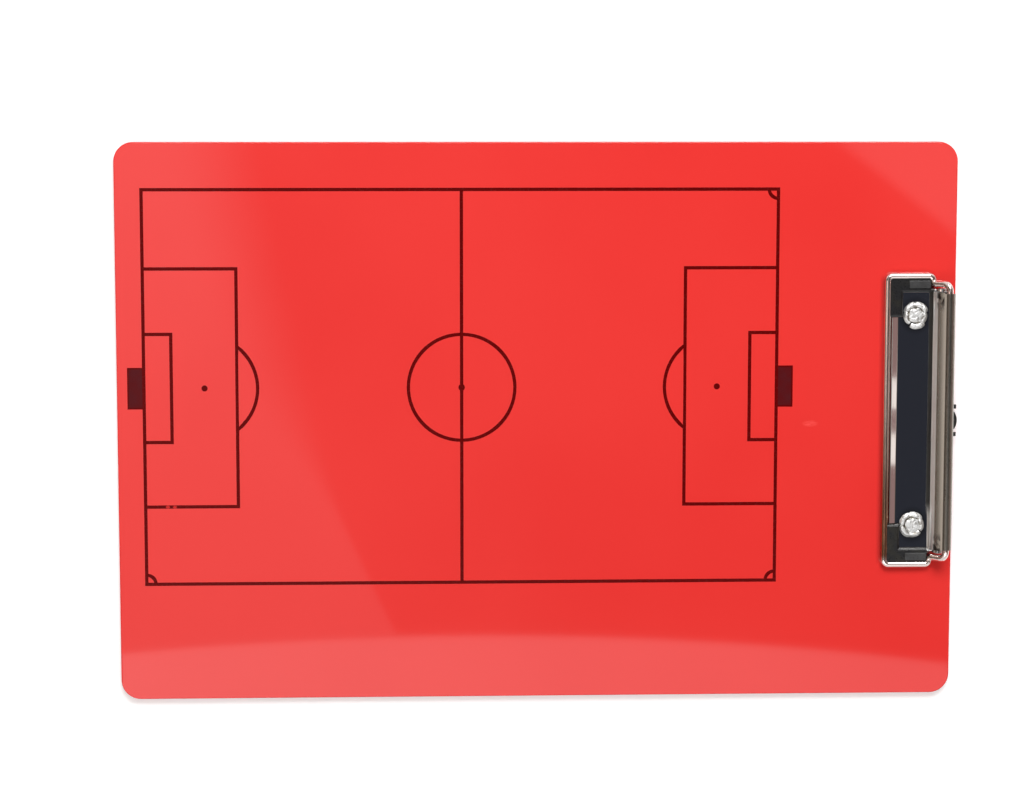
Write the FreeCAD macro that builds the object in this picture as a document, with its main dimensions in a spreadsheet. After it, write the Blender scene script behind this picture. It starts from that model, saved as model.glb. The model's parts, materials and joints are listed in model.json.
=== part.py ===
import FreeCAD
import Part
import Sketcher
import math
import os

# A coach's tactics board: a printed plastic panel with a low wire-bow paper clip riveted to one end.
# The origin is the centre of the panel's back face. X runs along the panel towards the clip, Y runs
# across it and Z points out of the printed face. The clip is drawn from its hinge axis, which lies
# along Y. Pressing the lever's curl down towards the panel lifts the wire bow off the paper.

# Driving sizes in millimetres and degrees: alias, value, what it is
SIZES = (
    ("board_length", "345", "panel, along X"),
    ("board_width", "230", "panel, along Y"),
    ("board_thick", "3", "panel thickness"),
    ("corner_radius", "8", "panel corners in plan"),
    ("edge_round", "0.5", "softened rim of the panel"),
    ("ink_thick", "0.05", "thickness of the print"),
    ("line_width", "0.95", "printed pitch lines"),
    ("pitch_far_margin", "11.1", "goal line to the far end of the panel"),
    ("pitch_clip_margin", "73.9", "goal line to the clip end of the panel"),
    ("pitch_upper_margin", "19.3", "touchline to the panel's upper edge"),
    ("pitch_lower_margin", "48.3", "touchline to the panel's lower edge"),
    ("circle_radius", "21.9", "centre circle"),
    ("centre_spot_dia", "2.2", "kick-off spot"),
    ("penalty_depth", "38", "penalty area, along X"),
    ("penalty_width", "98", "penalty area, along Y"),
    ("goal_area_depth", "11.2", "goal area, along X"),
    ("goal_area_width", "44.5", "goal area, along Y"),
    ("goal_depth", "6.3", "goal block, along X"),
    ("goal_width", "17.1", "goal block, along Y"),
    ("spot_distance", "24.7", "penalty spot from the goal line"),
    ("spot_dia", "2.5", "penalty spot"),
    ("arc_radius", "21.7", "penalty arc about its spot"),
    ("corner_arc_radius", "3.8", "corner arcs of the pitch"),
    ("hinge_inset", "6.3", "hinge axis from the clip end of the panel"),
    ("clip_sheet", "0.8", "sheet steel of the base plate and lever"),
    ("pin_dia", "2.2", "hinge pin"),
    ("pin_turn_gap", "0.05", "radial play of the lever on the pin"),
    ("pin_seat_gap", "0.02", "radial play of the pin in the ears"),
    ("pin_head_dia", "3.4", "upset ends of the pin"),
    ("pin_head_thick", "0.4", "upset ends of the pin, along Y"),
    ("plate_inset", "5.3", "base plate's ears inside the bow's side runs"),
    ("plate_rear", "5.3", "rear edge of the base plate behind the hinge"),
    ("plate_bend", "0.5", "rounding along the folded edges of the base plate"),
    ("rail_bend", "0.6", "inside of the bend from the flat plate up to the rails"),
    ("flange_bend", "0.6", "inside of the bend from the flat plate up to the flange"),
    ("sheet_round", "0.3", "softened free edges of the rails and the flange"),
    ("flange_setback", "11.8", "ends of the front flange inside the ears"),
    ("flange_gap", "0.4", "front flange clear of the bow"),
    ("flange_reach", "1.7", "flange ahead of the bend"),
    ("flange_rise", "2.1", "flange edge above the printed face"),
    ("notch_depth", "2.9", "front corners of the plate, cut back for the pads"),
    ("shoulder_depth", "1.6", "ends of the plate beside the pads, cut back from the rails"),
    ("rail_height", "2.2", "end rails above the printed face"),
    ("ear_radius", "2.5", "round top of the ears about the pin"),
    ("tunnel_front", "3.4", "pressed tunnel of the hanging tab, ahead of the hinge"),
    ("chamber_rear", "4.4", "stop inside the tunnel, behind the hinge"),
    ("chamber_width", "15.6", "inside of the tunnel, along Y"),
    ("mouth_width", "14", "rear mouth of the tunnel, along Y"),
    ("rivet_inset", "10.95", "rivets inside the base plate's ears"),
    ("rivet_pad_gap", "0.2", "rivets clear of the pads' front legs"),
    ("rivet_gap", "0.05", "radial play round the rivets"),
    ("shank_dia", "5", "rivet shank"),
    ("back_head_dia", "9", "rivet head let into the back"),
    ("back_head_thick", "0.9", "rivet head let into the back"),
    ("rivet_dia", "10.8", "clinched front of the rivet"),
    ("rivet_rim", "0.35", "rim of the clinched front above the plate"),
    ("rivet_crest_dia", "8.6", "crest of the rolled ring"),
    ("rivet_crest", "1.3", "crest of the rolled ring above the plate"),
    ("rivet_groove_dia", "6.2", "groove between ring and centre"),
    ("rivet_groove", "0.7", "groove floor above the plate"),
    ("rivet_disc_dia", "5.6", "centre disc of the rivet"),
    ("rivet_disc", "1", "edge of the centre disc above the plate"),
    ("rivet_crown", "1.25", "middle of the centre disc above the plate"),
    ("lever_end_gap", "0.4", "press lever clear of the ears"),
    ("apron_gap", "0.4", "lever's round apron clear of the spring coils"),
    ("apron_angle", "225", "front edge of the apron, turned from +X"),
    ("ridge_angle", "50", "slope of the lever behind the apron"),
    ("tunnel_notch_gap", "0.4", "notch in the apron clear of the tab's tunnel"),
    ("curl_reach", "2.4", "curl axis behind the hinge"),
    ("curl_height", "4.6", "curl axis above the hinge"),
    ("curl_gap", "0.05", "play of the wire in the curl"),
    ("curl_end_angle", "210", "lower lip of the curl, turned from +X"),
    ("curl_setback", "0.4", "curl stops short of the lever's ends"),
    ("cheek_gap", "0.4", "lever's end cheeks clear of the plate"),
    ("bow_wire", "2.8", "wire of the jaw bow"),
    ("bow_reach", "22.1", "front run of the bow ahead of the hinge"),
    ("bow_width", "120", "side run to side run"),
    ("bow_corner", "1.9", "front corners of the bow, at the wire's middle"),
    ("joggle_front", "3.9", "bow starts to step in, ahead of the hinge"),
    ("joggle_rear", "3.2", "bow has stepped in and starts to climb, ahead of the hinge"),
    ("joggle_gap", "0.5", "bow clear of the pin's ends where it steps in"),
    ("joggle_bend", "1.6", "bends of the step"),
    ("bow_rear_corner", "3", "rear corners of the bow"),
    ("pad_lift", "0.1", "pads stand off the printed face"),
    ("sole_thick", "0.35", "pad under the wire"),
    ("groove_gap", "0.05", "play of the wire in the pads"),
    ("pad_height", "3", "top of the pads above the printed face"),
    ("pad_clear", "0.2", "pads stay clear of the base plate"),
    ("pad_leg_gap", "0.3", "pads' front legs stop short of the flange"),
    ("pad_rear", "4.4", "rear end of the pads ahead of the hinge"),
    ("pad_round", "1", "softened top edges of the pads"),
    ("sole_margin", "0.2", "sole stays inside the wire's outer edge"),
    ("panel_setback", "2.4", "raised panel of the pads behind the front legs"),
    ("panel_margin", "0.4", "border round the raised panel"),
    ("panel_rise", "0.4", "raised panel above the pads"),
    ("panel_round", "0.25", "softened top edges of the raised panel"),
    ("tab_width", "13.2", "hanging tab, along Y"),
    ("tab_thick", "0.8", "hanging tab"),
    ("tab_lift", "0.1", "hanging tab above the printed face"),
    ("tab_roof_gap", "0.15", "hanging tab under its tunnel"),
    ("tab_nose", "7.6", "tip of the pushed-in tab behind the hinge"),
    ("tab_travel", "5.2", "tab from pushed in to pulled out"),
    ("tab_stop_gap", "0.2", "tab's cross bar from both its stops"),
    ("bar_width", "15", "cross bar of the tab, along Y"),
    ("nose_width", "7.2", "rounded middle of the tab's end"),
    ("nose_bulge", "1.1", "bow of the nose between its corners"),
    ("shoulder_width", "1.7", "outer lobes of the tab's end"),
    ("shoulder_back", "0.35", "lobes behind the nose tip"),
    ("finger_back", "1.4", "finger notches behind the nose tip"),
    ("hang_hole_dia", "4.8", "hole for a nail or hook"),
    ("hang_hole_back", "3.6", "hole behind the nose tip"),
    ("spring_wire", "1", "wire of the torsion springs"),
    ("spring_gap", "0.2", "coil clear of the pin"),
    ("spring_plate_gap", "0.5", "coil clear of the base plate"),
    ("spring_pitch", "1.45", "coil pitch along Y"),
    ("spring_turns", "4", "whole turns of each coil"),
    ("spring_place", "24", "inner end of the coil from the middle"),
    ("plate_leg_angle", "38", "coil point where the leg to the plate leaves"),
    ("lever_leg_angle", "-25", "coil point where the leg to the lever leaves"),
    ("spring_leg_gap", "0.1", "leg end clear of the plate"),
    ("lever_leg", "2.7", "length of the leg to the lever"),
    ("overrun", "1", "cuts pass the faces they open"),
)

doc = FreeCAD.newDocument("tactics_board")
sheet = doc.addObject("Spreadsheet::Sheet", "sizes")
for row, (alias, text, note) in enumerate(SIZES, 1):
    sheet.set(f"A{row}", note)
    sheet.set(f"B{row}", text)
    sheet.setAlias(f"B{row}", alias)
doc.recompute()


class Size:
    """A measure worked out from the sheet: its value now and the expression that keeps it tied there."""

    def __init__(self, value, text):
        self.value = value
        self.text = text

    def joined(self, other, value, sign):
        return Size(value, f"({self.text} {sign} {other.text})")

    def __add__(self, other):
        other = measure(other)
        return self.joined(other, self.value + other.value, "+")

    def __sub__(self, other):
        other = measure(other)
        return self.joined(other, self.value - other.value, "-")

    def __mul__(self, other):
        other = measure(other)
        return self.joined(other, self.value * other.value, "*")

    def __truediv__(self, other):
        other = measure(other)
        return self.joined(other, self.value / other.value, "/")

    def __neg__(self):
        return Size(-self.value, f"(-1 * {self.text})")


def measure(number):
    """A plain count or share as a Size."""
    return number if isinstance(number, Size) else Size(float(number), str(number))


def root(square):
    return Size(math.sqrt(square.value), f"sqrt({square.text})")


def cosine(angle):
    return Size(math.cos(math.radians(angle.value)), f"cos({angle.text})")


def sine(angle):
    return Size(math.sin(math.radians(angle.value)), f"sin({angle.text})")


class Sizes:
    """The sheet's cells by alias, each as a Size."""

    def __getattr__(self, alias):
        return Size(float(sheet.get(alias)), f"sizes.{alias}")


size = Sizes()
ZERO = measure(0)

# Places that several pieces share
pitch_length = size.board_length - size.pitch_far_margin - size.pitch_clip_margin
pitch_width = size.board_width - size.pitch_upper_margin - size.pitch_lower_margin
pin_radius = size.pin_dia / 2
coil_radius = pin_radius + size.spring_gap + size.spring_wire / 2
coil_outer = coil_radius + size.spring_wire / 2
hinge_x = size.board_length / 2 - size.hinge_inset
hinge_height = size.clip_sheet + size.spring_plate_gap + coil_outer
hinge_z = size.board_thick + hinge_height
wire_radius = size.bow_wire / 2
bow_half = size.bow_width / 2
bow_z = size.pad_lift + size.sole_thick + size.groove_gap + wire_radius
plate_half = bow_half - size.plate_inset
plate_width = plate_half * 2
plate_front = size.bow_reach - wire_radius - size.flange_gap - size.flange_reach
flange_half = plate_half - size.flange_setback
notch_x = size.notch_depth - plate_front
rail_x = size.pad_clear - size.pad_rear
shoulder_half = plate_half - size.shoulder_depth
pad_leg_x = notch_x - size.pad_clear
rivet_x = pad_leg_x + size.rivet_pad_gap + size.rivet_dia / 2
rivet_y = plate_half - size.rivet_inset
lever_half = plate_half - size.clip_sheet - size.lever_end_gap
curl_inner = wire_radius + size.curl_gap
curl_outer = curl_inner + size.clip_sheet
tab_top = size.tab_lift + size.tab_thick
tunnel_roof = tab_top + size.tab_roof_gap
tunnel_top = tunnel_roof + size.clip_sheet
tunnel_half = size.chamber_width / 2 + size.clip_sheet
nodes = []

# Places closer than this count as one
SAME_PLACE = 1e-4


def bind(thing, name, amount):
    """Sets a property to a Size and ties it to the sheet."""
    thing.setExpression(name, amount.text)


def place(thing, x=ZERO, y=ZERO, z=ZERO):
    for axis, amount in (("x", x), ("y", y), ("z", z)):
        bind(thing, f"Placement.Base.{axis}", amount)


def new_body(label, x=ZERO, y=ZERO, z=ZERO):
    body = doc.addObject("PartDesign::Body", label)
    body.Label = label
    place(body, x, y, z)
    return body


def new_sketch(body, name, role="XY_Plane", height=ZERO):
    """A sketch on one of the body's own origin planes, raised along that plane's normal."""
    sketch = body.newObject("Sketcher::SketchObject", f"{body.Name}_{name}")
    support = next(feature for feature in body.Origin.OriginFeatures if feature.Role == role)
    sketch.AttachmentSupport = [(support, "")]
    sketch.MapMode = "FlatFace"
    bind(sketch, "AttachmentOffset.Base.z", height)
    return sketch


def tie(sketch, kind, amount, *where):
    index = sketch.addConstraint(Sketcher.Constraint(kind, *where, amount.value))
    sketch.setExpression(f"Constraints[{index}]", amount.text)


def fix_point(sketch, geometry, end, x, y):
    tie(sketch, "DistanceX", x, -1, 1, geometry, end)
    tie(sketch, "DistanceY", y, -1, 1, geometry, end)


def circle(sketch, x, y, radius):
    centre = FreeCAD.Vector(x.value, y.value, 0)
    index = sketch.addGeometry(Part.Circle(centre, FreeCAD.Vector(0, 0, 1), radius.value))
    fix_point(sketch, index, 3, x, y)
    tie(sketch, "Radius", radius, index)


def outline(sketch, corners, arcs=None):
    """A closed outline through its corners. arcs maps the corner that an arc starts from to the arc's
    centre, its radius and its turn: 1 runs anticlockwise and -1 clockwise. The corners and one ordinate
    of the centre hold an arc, also where it is a half circle."""
    arcs = arcs or {}
    points = [FreeCAD.Vector(x.value, y.value, 0) for x, y in corners]
    ends = []
    for number, point in enumerate(points):
        following = points[(number + 1) % len(points)]
        if number not in arcs:
            index = sketch.addGeometry(Part.LineSegment(point, following))
            ends.append((index, 1, 2))
            continue
        (x, y), radius, turn = arcs[number]
        centre = FreeCAD.Vector(x.value, y.value, 0)
        ring = Part.Circle(centre, FreeCAD.Vector(0, 0, 1), radius.value)
        first, last = (point, following) if turn > 0 else (following, point)
        angles = [math.atan2(end.y - centre.y, end.x - centre.x) for end in (first, last)]
        index = sketch.addGeometry(Part.ArcOfCircle(ring, *angles))
        ends.append((index, 1, 2) if turn > 0 else (index, 2, 1))
        chord = following - point
        if abs(chord.x) > abs(chord.y):
            tie(sketch, "DistanceY", y, -1, 1, index, 3)
        else:
            tie(sketch, "DistanceX", x, -1, 1, index, 3)
    for number, (index, start, _) in enumerate(ends):
        before, _, finish = ends[number - 1]
        sketch.addConstraint(Sketcher.Constraint("Coincident", before, finish, index, start))
        fix_point(sketch, index, start, *corners[number])


def rectangle(sketch, x_low, x_high, y_low, y_high):
    outline(sketch, [(x_low, y_low), (x_high, y_low), (x_high, y_high), (x_low, y_high)])


def pad(body, sketch, length, symmetric=False):
    feature = body.newObject("PartDesign::Pad", f"{sketch.Name}_pad")
    feature.Profile = sketch
    feature.SideType = "Symmetric" if symmetric else "One side"
    bind(feature, "Length", length)
    doc.recompute()
    return feature


def pocket(body, sketch, length, symmetric=False):
    """Cuts from the sketch along its plane's normal, and makes sure that it took something away."""
    volume = body.Shape.Volume
    feature = body.newObject("PartDesign::Pocket", f"{sketch.Name}_pocket")
    feature.Profile = sketch
    feature.SideType = "Symmetric" if symmetric else "One side"
    feature.Reversed = not symmetric
    bind(feature, "Length", length)
    doc.recompute()
    if body.Shape.Volume >= volume:
        raise RuntimeError(f"{feature.Name} cut nothing")
    return feature


def mirrored(body, features, role):
    feature = body.newObject("PartDesign::Mirrored", f"{features[0].Name}_mirrored")
    feature.Originals = features
    support = next(part for part in body.Origin.OriginFeatures if part.Role == role)
    feature.MirrorPlane = (support, [""])
    body.Tip = feature
    doc.recompute()
    return feature


def fillet(body, radius, chosen):
    """Rounds the edges of the body's present shape for which chosen(edge) holds."""
    base = body.Tip
    names = [f"Edge{number}" for number, edge in enumerate(base.Shape.Edges, 1) if chosen(edge)]
    feature = body.newObject("PartDesign::Fillet", f"{body.Name}_round_{len(body.Group)}")
    feature.Base = (base, names)
    bind(feature, "Radius", radius)
    doc.recompute()
    if not names or "Invalid" in feature.State:
        raise RuntimeError(f"{feature.Name} rounded nothing")
    return feature


def middle_of(edge):
    return edge.valueAt((edge.FirstParameter + edge.LastParameter) / 2)


def near(first, second):
    return math.isclose(first, second, abs_tol=SAME_PLACE)


def solid_piece(label, shape):
    feature = doc.addObject("Part::Feature", label)
    feature.Label = label
    feature.Shape = shape
    nodes.append(feature)
    return feature


def vector(x, y, z):
    return FreeCAD.Vector(x.value, y.value, z.value)


def arc_edge(start, corner, end):
    """The arc from start to end whose end tangents meet at the corner, equally far from both."""
    chord_middle = (start + end) / 2
    half_chord = (end - start).Length / 2
    bend = math.acos(half_chord / (corner - start).Length)
    outward = (corner - chord_middle).normalize()
    return Part.Arc(start, chord_middle + outward * (half_chord * math.tan(bend / 2)), end).toShape()


def bent_path(points, radii):
    """Straight runs joined by tangent arcs, one radius for each inner point."""
    edges = []
    last = points[0]
    for before, corner, after, radius in zip(points, points[1:], points[2:], radii):
        back = (before - corner).normalize()
        ahead = (after - corner).normalize()
        reach = radius / math.tan(back.getAngle(ahead) / 2)
        start = corner + back * reach
        end = corner + ahead * reach
        edges.append(Part.LineSegment(last, start).toShape())
        edges.append(arc_edge(start, corner, end))
        last = end
    edges.append(Part.LineSegment(last, points[-1]).toShape())
    return edges


def tube(edges, radius):
    """One round wire along a path of edges."""
    first = edges[0]
    start = first.valueAt(first.FirstParameter)
    ring = Part.makeCircle(radius, start, first.tangentAt(first.FirstParameter))
    return Part.Wire(edges).makePipeShell([Part.Wire(ring)], True, False)


# Panel

def make_board_panel():
    body = new_body("board_panel")
    sketch = new_sketch(body, "outline")
    half_length = size.board_length / 2
    half_width = size.board_width / 2
    rectangle(sketch, -half_length, half_length, -half_width, half_width)
    pad(body, sketch, size.board_thick)
    fillet(body, size.corner_radius, lambda edge: near(edge.BoundBox.ZLength, size.board_thick.value))
    fillet(body, size.edge_round, lambda edge: near(edge.BoundBox.ZLength, 0))
    shanks = new_sketch(body, "shank_holes")
    heads = new_sketch(body, "head_recesses")
    for side in (1, -1):
        circle(shanks, hinge_x + rivet_x, rivet_y * side, size.shank_dia / 2 + size.rivet_gap)
        circle(heads, hinge_x + rivet_x, rivet_y * side, size.back_head_dia / 2 + size.rivet_gap)
    pocket(body, shanks, size.board_thick + size.overrun)
    pocket(body, heads, size.back_head_thick)
    nodes.append(body)


# Printed pitch

def pitch_body(label):
    shift_x = (size.pitch_far_margin - size.pitch_clip_margin) / 2
    shift_y = (size.pitch_lower_margin - size.pitch_upper_margin) / 2
    return new_body(label, shift_x, shift_y, size.board_thick)


def ink_bar(body, name, x_low, x_high, y_low, y_high):
    """One straight printed line, given by its middle line, with half a line width added all round."""
    sketch = new_sketch(body, name)
    half = size.line_width / 2
    rectangle(sketch, x_low - half, x_high + half, y_low - half, y_high + half)
    return pad(body, sketch, size.ink_thick)


def ink_arc(body, name, centre, radius, first, last):
    """Part of a printed ring, anticlockwise between two directions given as cosine and sine."""
    sketch = new_sketch(body, name)
    inner = radius - size.line_width / 2
    outer = radius + size.line_width / 2
    x, y = centre
    corners = [(x + way[0] * reach, y + way[1] * reach)
               for reach, way in ((outer, first), (outer, last), (inner, last), (inner, first))]
    outline(sketch, corners, {0: (centre, outer, 1), 2: (centre, inner, -1)})
    return pad(body, sketch, size.ink_thick)


def make_pitch_lines():
    body = pitch_body("pitch_lines")
    half_length = pitch_length / 2
    half_width = pitch_width / 2
    frame = new_sketch(body, "frame")
    for reach in (size.line_width / 2, -size.line_width / 2):
        rectangle(frame, -half_length - reach, half_length + reach, -half_width - reach, half_width + reach)
    pad(body, frame, size.ink_thick)
    ink_bar(body, "halfway", ZERO, ZERO, -half_width, half_width)
    ring = new_sketch(body, "centre_circle")
    for reach in (size.line_width / 2, -size.line_width / 2):
        circle(ring, ZERO, ZERO, size.circle_radius + reach)
    pad(body, ring, size.ink_thick)
    spot = new_sketch(body, "centre_spot")
    circle(spot, ZERO, ZERO, size.centre_spot_dia / 2)
    pad(body, spot, size.ink_thick)

    # The end towards the clip, then its mirror image
    end_marks = []
    boxes = (("penalty", size.penalty_depth, size.penalty_width / 2),
             ("goal_area", size.goal_area_depth, size.goal_area_width / 2))
    for name, depth, half in boxes:
        inner = half_length - depth
        end_marks.append(ink_bar(body, f"{name}_front", inner, inner, -half, half))
        for side in (1, -1):
            level = half * side
            end_marks.append(ink_bar(body, f"{name}_side_{side + 1}", inner, half_length, level, level))
    spot_x = half_length - size.spot_distance
    cut_x = size.penalty_depth - size.spot_distance
    share_x = -(cut_x / size.arc_radius)
    share_y = root(measure(1) - share_x * share_x)
    end_marks.append(ink_arc(body, "penalty_arc", (spot_x, ZERO), size.arc_radius,
                             (share_x, share_y), (share_x, -share_y)))
    mirrored(body, end_marks, "YZ_Plane")

    # Three of the four corners carry an arc
    for name, side_x, side_y in (("near_upper", 1, 1), ("near_lower", 1, -1), ("far_lower", -1, -1)):
        along_x = (measure(-side_x), ZERO)
        along_y = (ZERO, measure(-side_y))
        first, last = (along_x, along_y) if side_x * side_y > 0 else (along_y, along_x)
        ink_arc(body, f"corner_{name}", (half_length * side_x, half_width * side_y),
                size.corner_arc_radius, first, last)
    nodes.append(body)


def make_penalty_spots():
    body = pitch_body("penalty_spots")
    sketch = new_sketch(body, "spots")
    for side in (1, -1):
        circle(sketch, (pitch_length / 2 - size.spot_distance) * side, ZERO, size.spot_dia / 2)
    pad(body, sketch, size.ink_thick)
    nodes.append(body)


def make_goal_blocks():
    body = pitch_body("goal_blocks")
    sketch = new_sketch(body, "blocks")
    near_x = pitch_length / 2 + size.line_width / 2
    half = size.goal_width / 2
    rectangle(sketch, near_x, near_x + size.goal_depth, -half, half)
    rectangle(sketch, -near_x - size.goal_depth, -near_x, -half, half)
    pad(body, sketch, size.ink_thick)
    nodes.append(body)


# Clip parts fixed to the panel

def make_base_plate():
    body = new_body("base_plate", hinge_x, ZERO, size.board_thick)
    flat = new_sketch(body, "flat")
    front = -plate_front
    rear = size.plate_rear
    outline(flat, [(front, -flange_half), (notch_x, -flange_half), (notch_x, -shoulder_half),
                   (rail_x, -shoulder_half), (rail_x, -plate_half), (rear, -plate_half),
                   (rear, plate_half), (rail_x, plate_half), (rail_x, shoulder_half),
                   (notch_x, shoulder_half), (notch_x, flange_half), (front, flange_half)])
    pad(body, flat, size.clip_sheet)

    # Front flange, bent up and forwards, as thick as the sheet across its slope
    slope = root(size.flange_reach * size.flange_reach + size.flange_rise * size.flange_rise)
    upright = size.clip_sheet * slope / size.flange_reach
    root_x = front + (upright - size.clip_sheet) * size.flange_reach / (size.flange_rise - upright)
    flange = new_sketch(body, "flange", "XZ_Plane")
    outline(flange, [(front, ZERO), (root_x, ZERO), (root_x, size.clip_sheet),
                     (front - size.flange_reach, size.flange_rise),
                     (front - size.flange_reach, size.flange_rise - upright)])
    pad(body, flange, flange_half * 2, symmetric=True)

    # End rails that rise into round ears for the pin, first drawn right across and then opened
    rails = new_sketch(body, "rails", "XZ_Plane")
    outline(rails, [(rail_x, ZERO), (size.ear_radius, ZERO), (size.ear_radius, hinge_height),
                    (-size.ear_radius, hinge_height), (-size.ear_radius, size.rail_height),
                    (rail_x, size.rail_height)],
            {2: ((ZERO, hinge_height), size.ear_radius, 1)})
    pad(body, rails, plate_width, symmetric=True)
    opening = new_sketch(body, "between_rails", "XZ_Plane")
    rectangle(opening, rail_x - size.overrun, size.ear_radius + size.overrun, size.clip_sheet,
              hinge_height + size.ear_radius + size.overrun)
    pocket(body, opening, plate_width - size.clip_sheet * 2, symmetric=True)
    inner_wall = plate_half - size.clip_sheet

    def along_rail(edge, wall, level):
        spot = middle_of(edge)
        return near(abs(spot.y), wall.value) and near(spot.z, level.value) and near(edge.BoundBox.ZLength, 0)

    def along_flange(edge, x, level):
        spot = middle_of(edge)
        return near(spot.x, x.value) and near(spot.z, level.value) and near(spot.y, 0)

    fillet(body, size.plate_bend, lambda edge: along_rail(edge, plate_half, ZERO))
    fillet(body, size.rail_bend, lambda edge: along_rail(edge, inner_wall, size.clip_sheet))
    for wall in (inner_wall, plate_half):
        fillet(body, size.sheet_round, lambda edge: along_rail(edge, wall, size.rail_height))
    fillet(body, size.flange_bend, lambda edge: along_flange(edge, root_x, size.clip_sheet))
    tip_x = front - size.flange_reach
    fillet(body, size.sheet_round, lambda edge: along_flange(edge, tip_x, size.flange_rise))

    bores = new_sketch(body, "pin_bores", "XZ_Plane")
    circle(bores, ZERO, hinge_height, pin_radius + size.pin_seat_gap)
    pocket(body, bores, plate_width + size.overrun, symmetric=True)

    # Pressed tunnel for the hanging tab: a closed chamber with a narrower rear mouth
    tunnel = new_sketch(body, "tunnel")
    rectangle(tunnel, -size.tunnel_front, rear, -tunnel_half, tunnel_half)
    pad(body, tunnel, tunnel_top)
    chamber = new_sketch(body, "chamber")
    rectangle(chamber, size.clip_sheet - size.tunnel_front, size.chamber_rear,
              -size.chamber_width / 2, size.chamber_width / 2)
    pocket(body, chamber, tunnel_roof)
    mouth = new_sketch(body, "mouth")
    rectangle(mouth, size.chamber_rear, rear + size.overrun, -size.mouth_width / 2, size.mouth_width / 2)
    pocket(body, mouth, tunnel_roof)

    holes = new_sketch(body, "rivet_holes")
    for side in (1, -1):
        circle(holes, rivet_x, rivet_y * side, size.shank_dia / 2 + size.rivet_gap)
    pocket(body, holes, size.clip_sheet + size.overrun)
    nodes.append(body)


def make_rivet(label, side):
    """A tubular rivet: flat head let into the back, front end clinched into a ring round a low disc."""
    body = new_body(label, hinge_x + rivet_x, rivet_y * side)
    seat = size.board_thick + size.clip_sheet
    profile = new_sketch(body, "profile", "XZ_Plane")
    corners = [
        (ZERO, ZERO),
        (size.back_head_dia / 2, ZERO),
        (size.back_head_dia / 2, size.back_head_thick),
        (size.shank_dia / 2, size.back_head_thick),
        (size.shank_dia / 2, seat),
        (size.rivet_dia / 2, seat),
        (size.rivet_dia / 2, seat + size.rivet_rim),
        (size.rivet_crest_dia / 2, seat + size.rivet_crest),
        (size.rivet_groove_dia / 2, seat + size.rivet_groove),
        (size.rivet_disc_dia / 2, seat + size.rivet_disc),
        (ZERO, seat + size.rivet_crown),
    ]
    outline(profile, corners)
    turned = body.newObject("PartDesign::Revolution", f"{label}_turned")
    turned.Profile = profile
    turned.ReferenceAxis = (profile, ["V_Axis"])
    turned.Angle = 360
    doc.recompute()
    crest = (seat + size.rivet_crest).value
    fillet(body, size.rivet_rim,
           lambda edge: near(edge.BoundBox.ZMin, crest) and near(edge.BoundBox.ZMax, crest))
    nodes.append(body)


def make_hinge_pin():
    body = new_body("hinge_pin", hinge_x, ZERO, hinge_z)
    shaft = new_sketch(body, "shaft", "XZ_Plane")
    circle(shaft, ZERO, ZERO, pin_radius)
    pad(body, shaft, plate_width, symmetric=True)
    head = new_sketch(body, "head", "XZ_Plane", plate_half)
    circle(head, ZERO, ZERO, size.pin_head_dia / 2)
    lower_head = pad(body, head, size.pin_head_thick)
    mirrored(body, [lower_head], "XZ_Plane")
    nodes.append(body)


# Lever, bow and pads, which turn together

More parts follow.
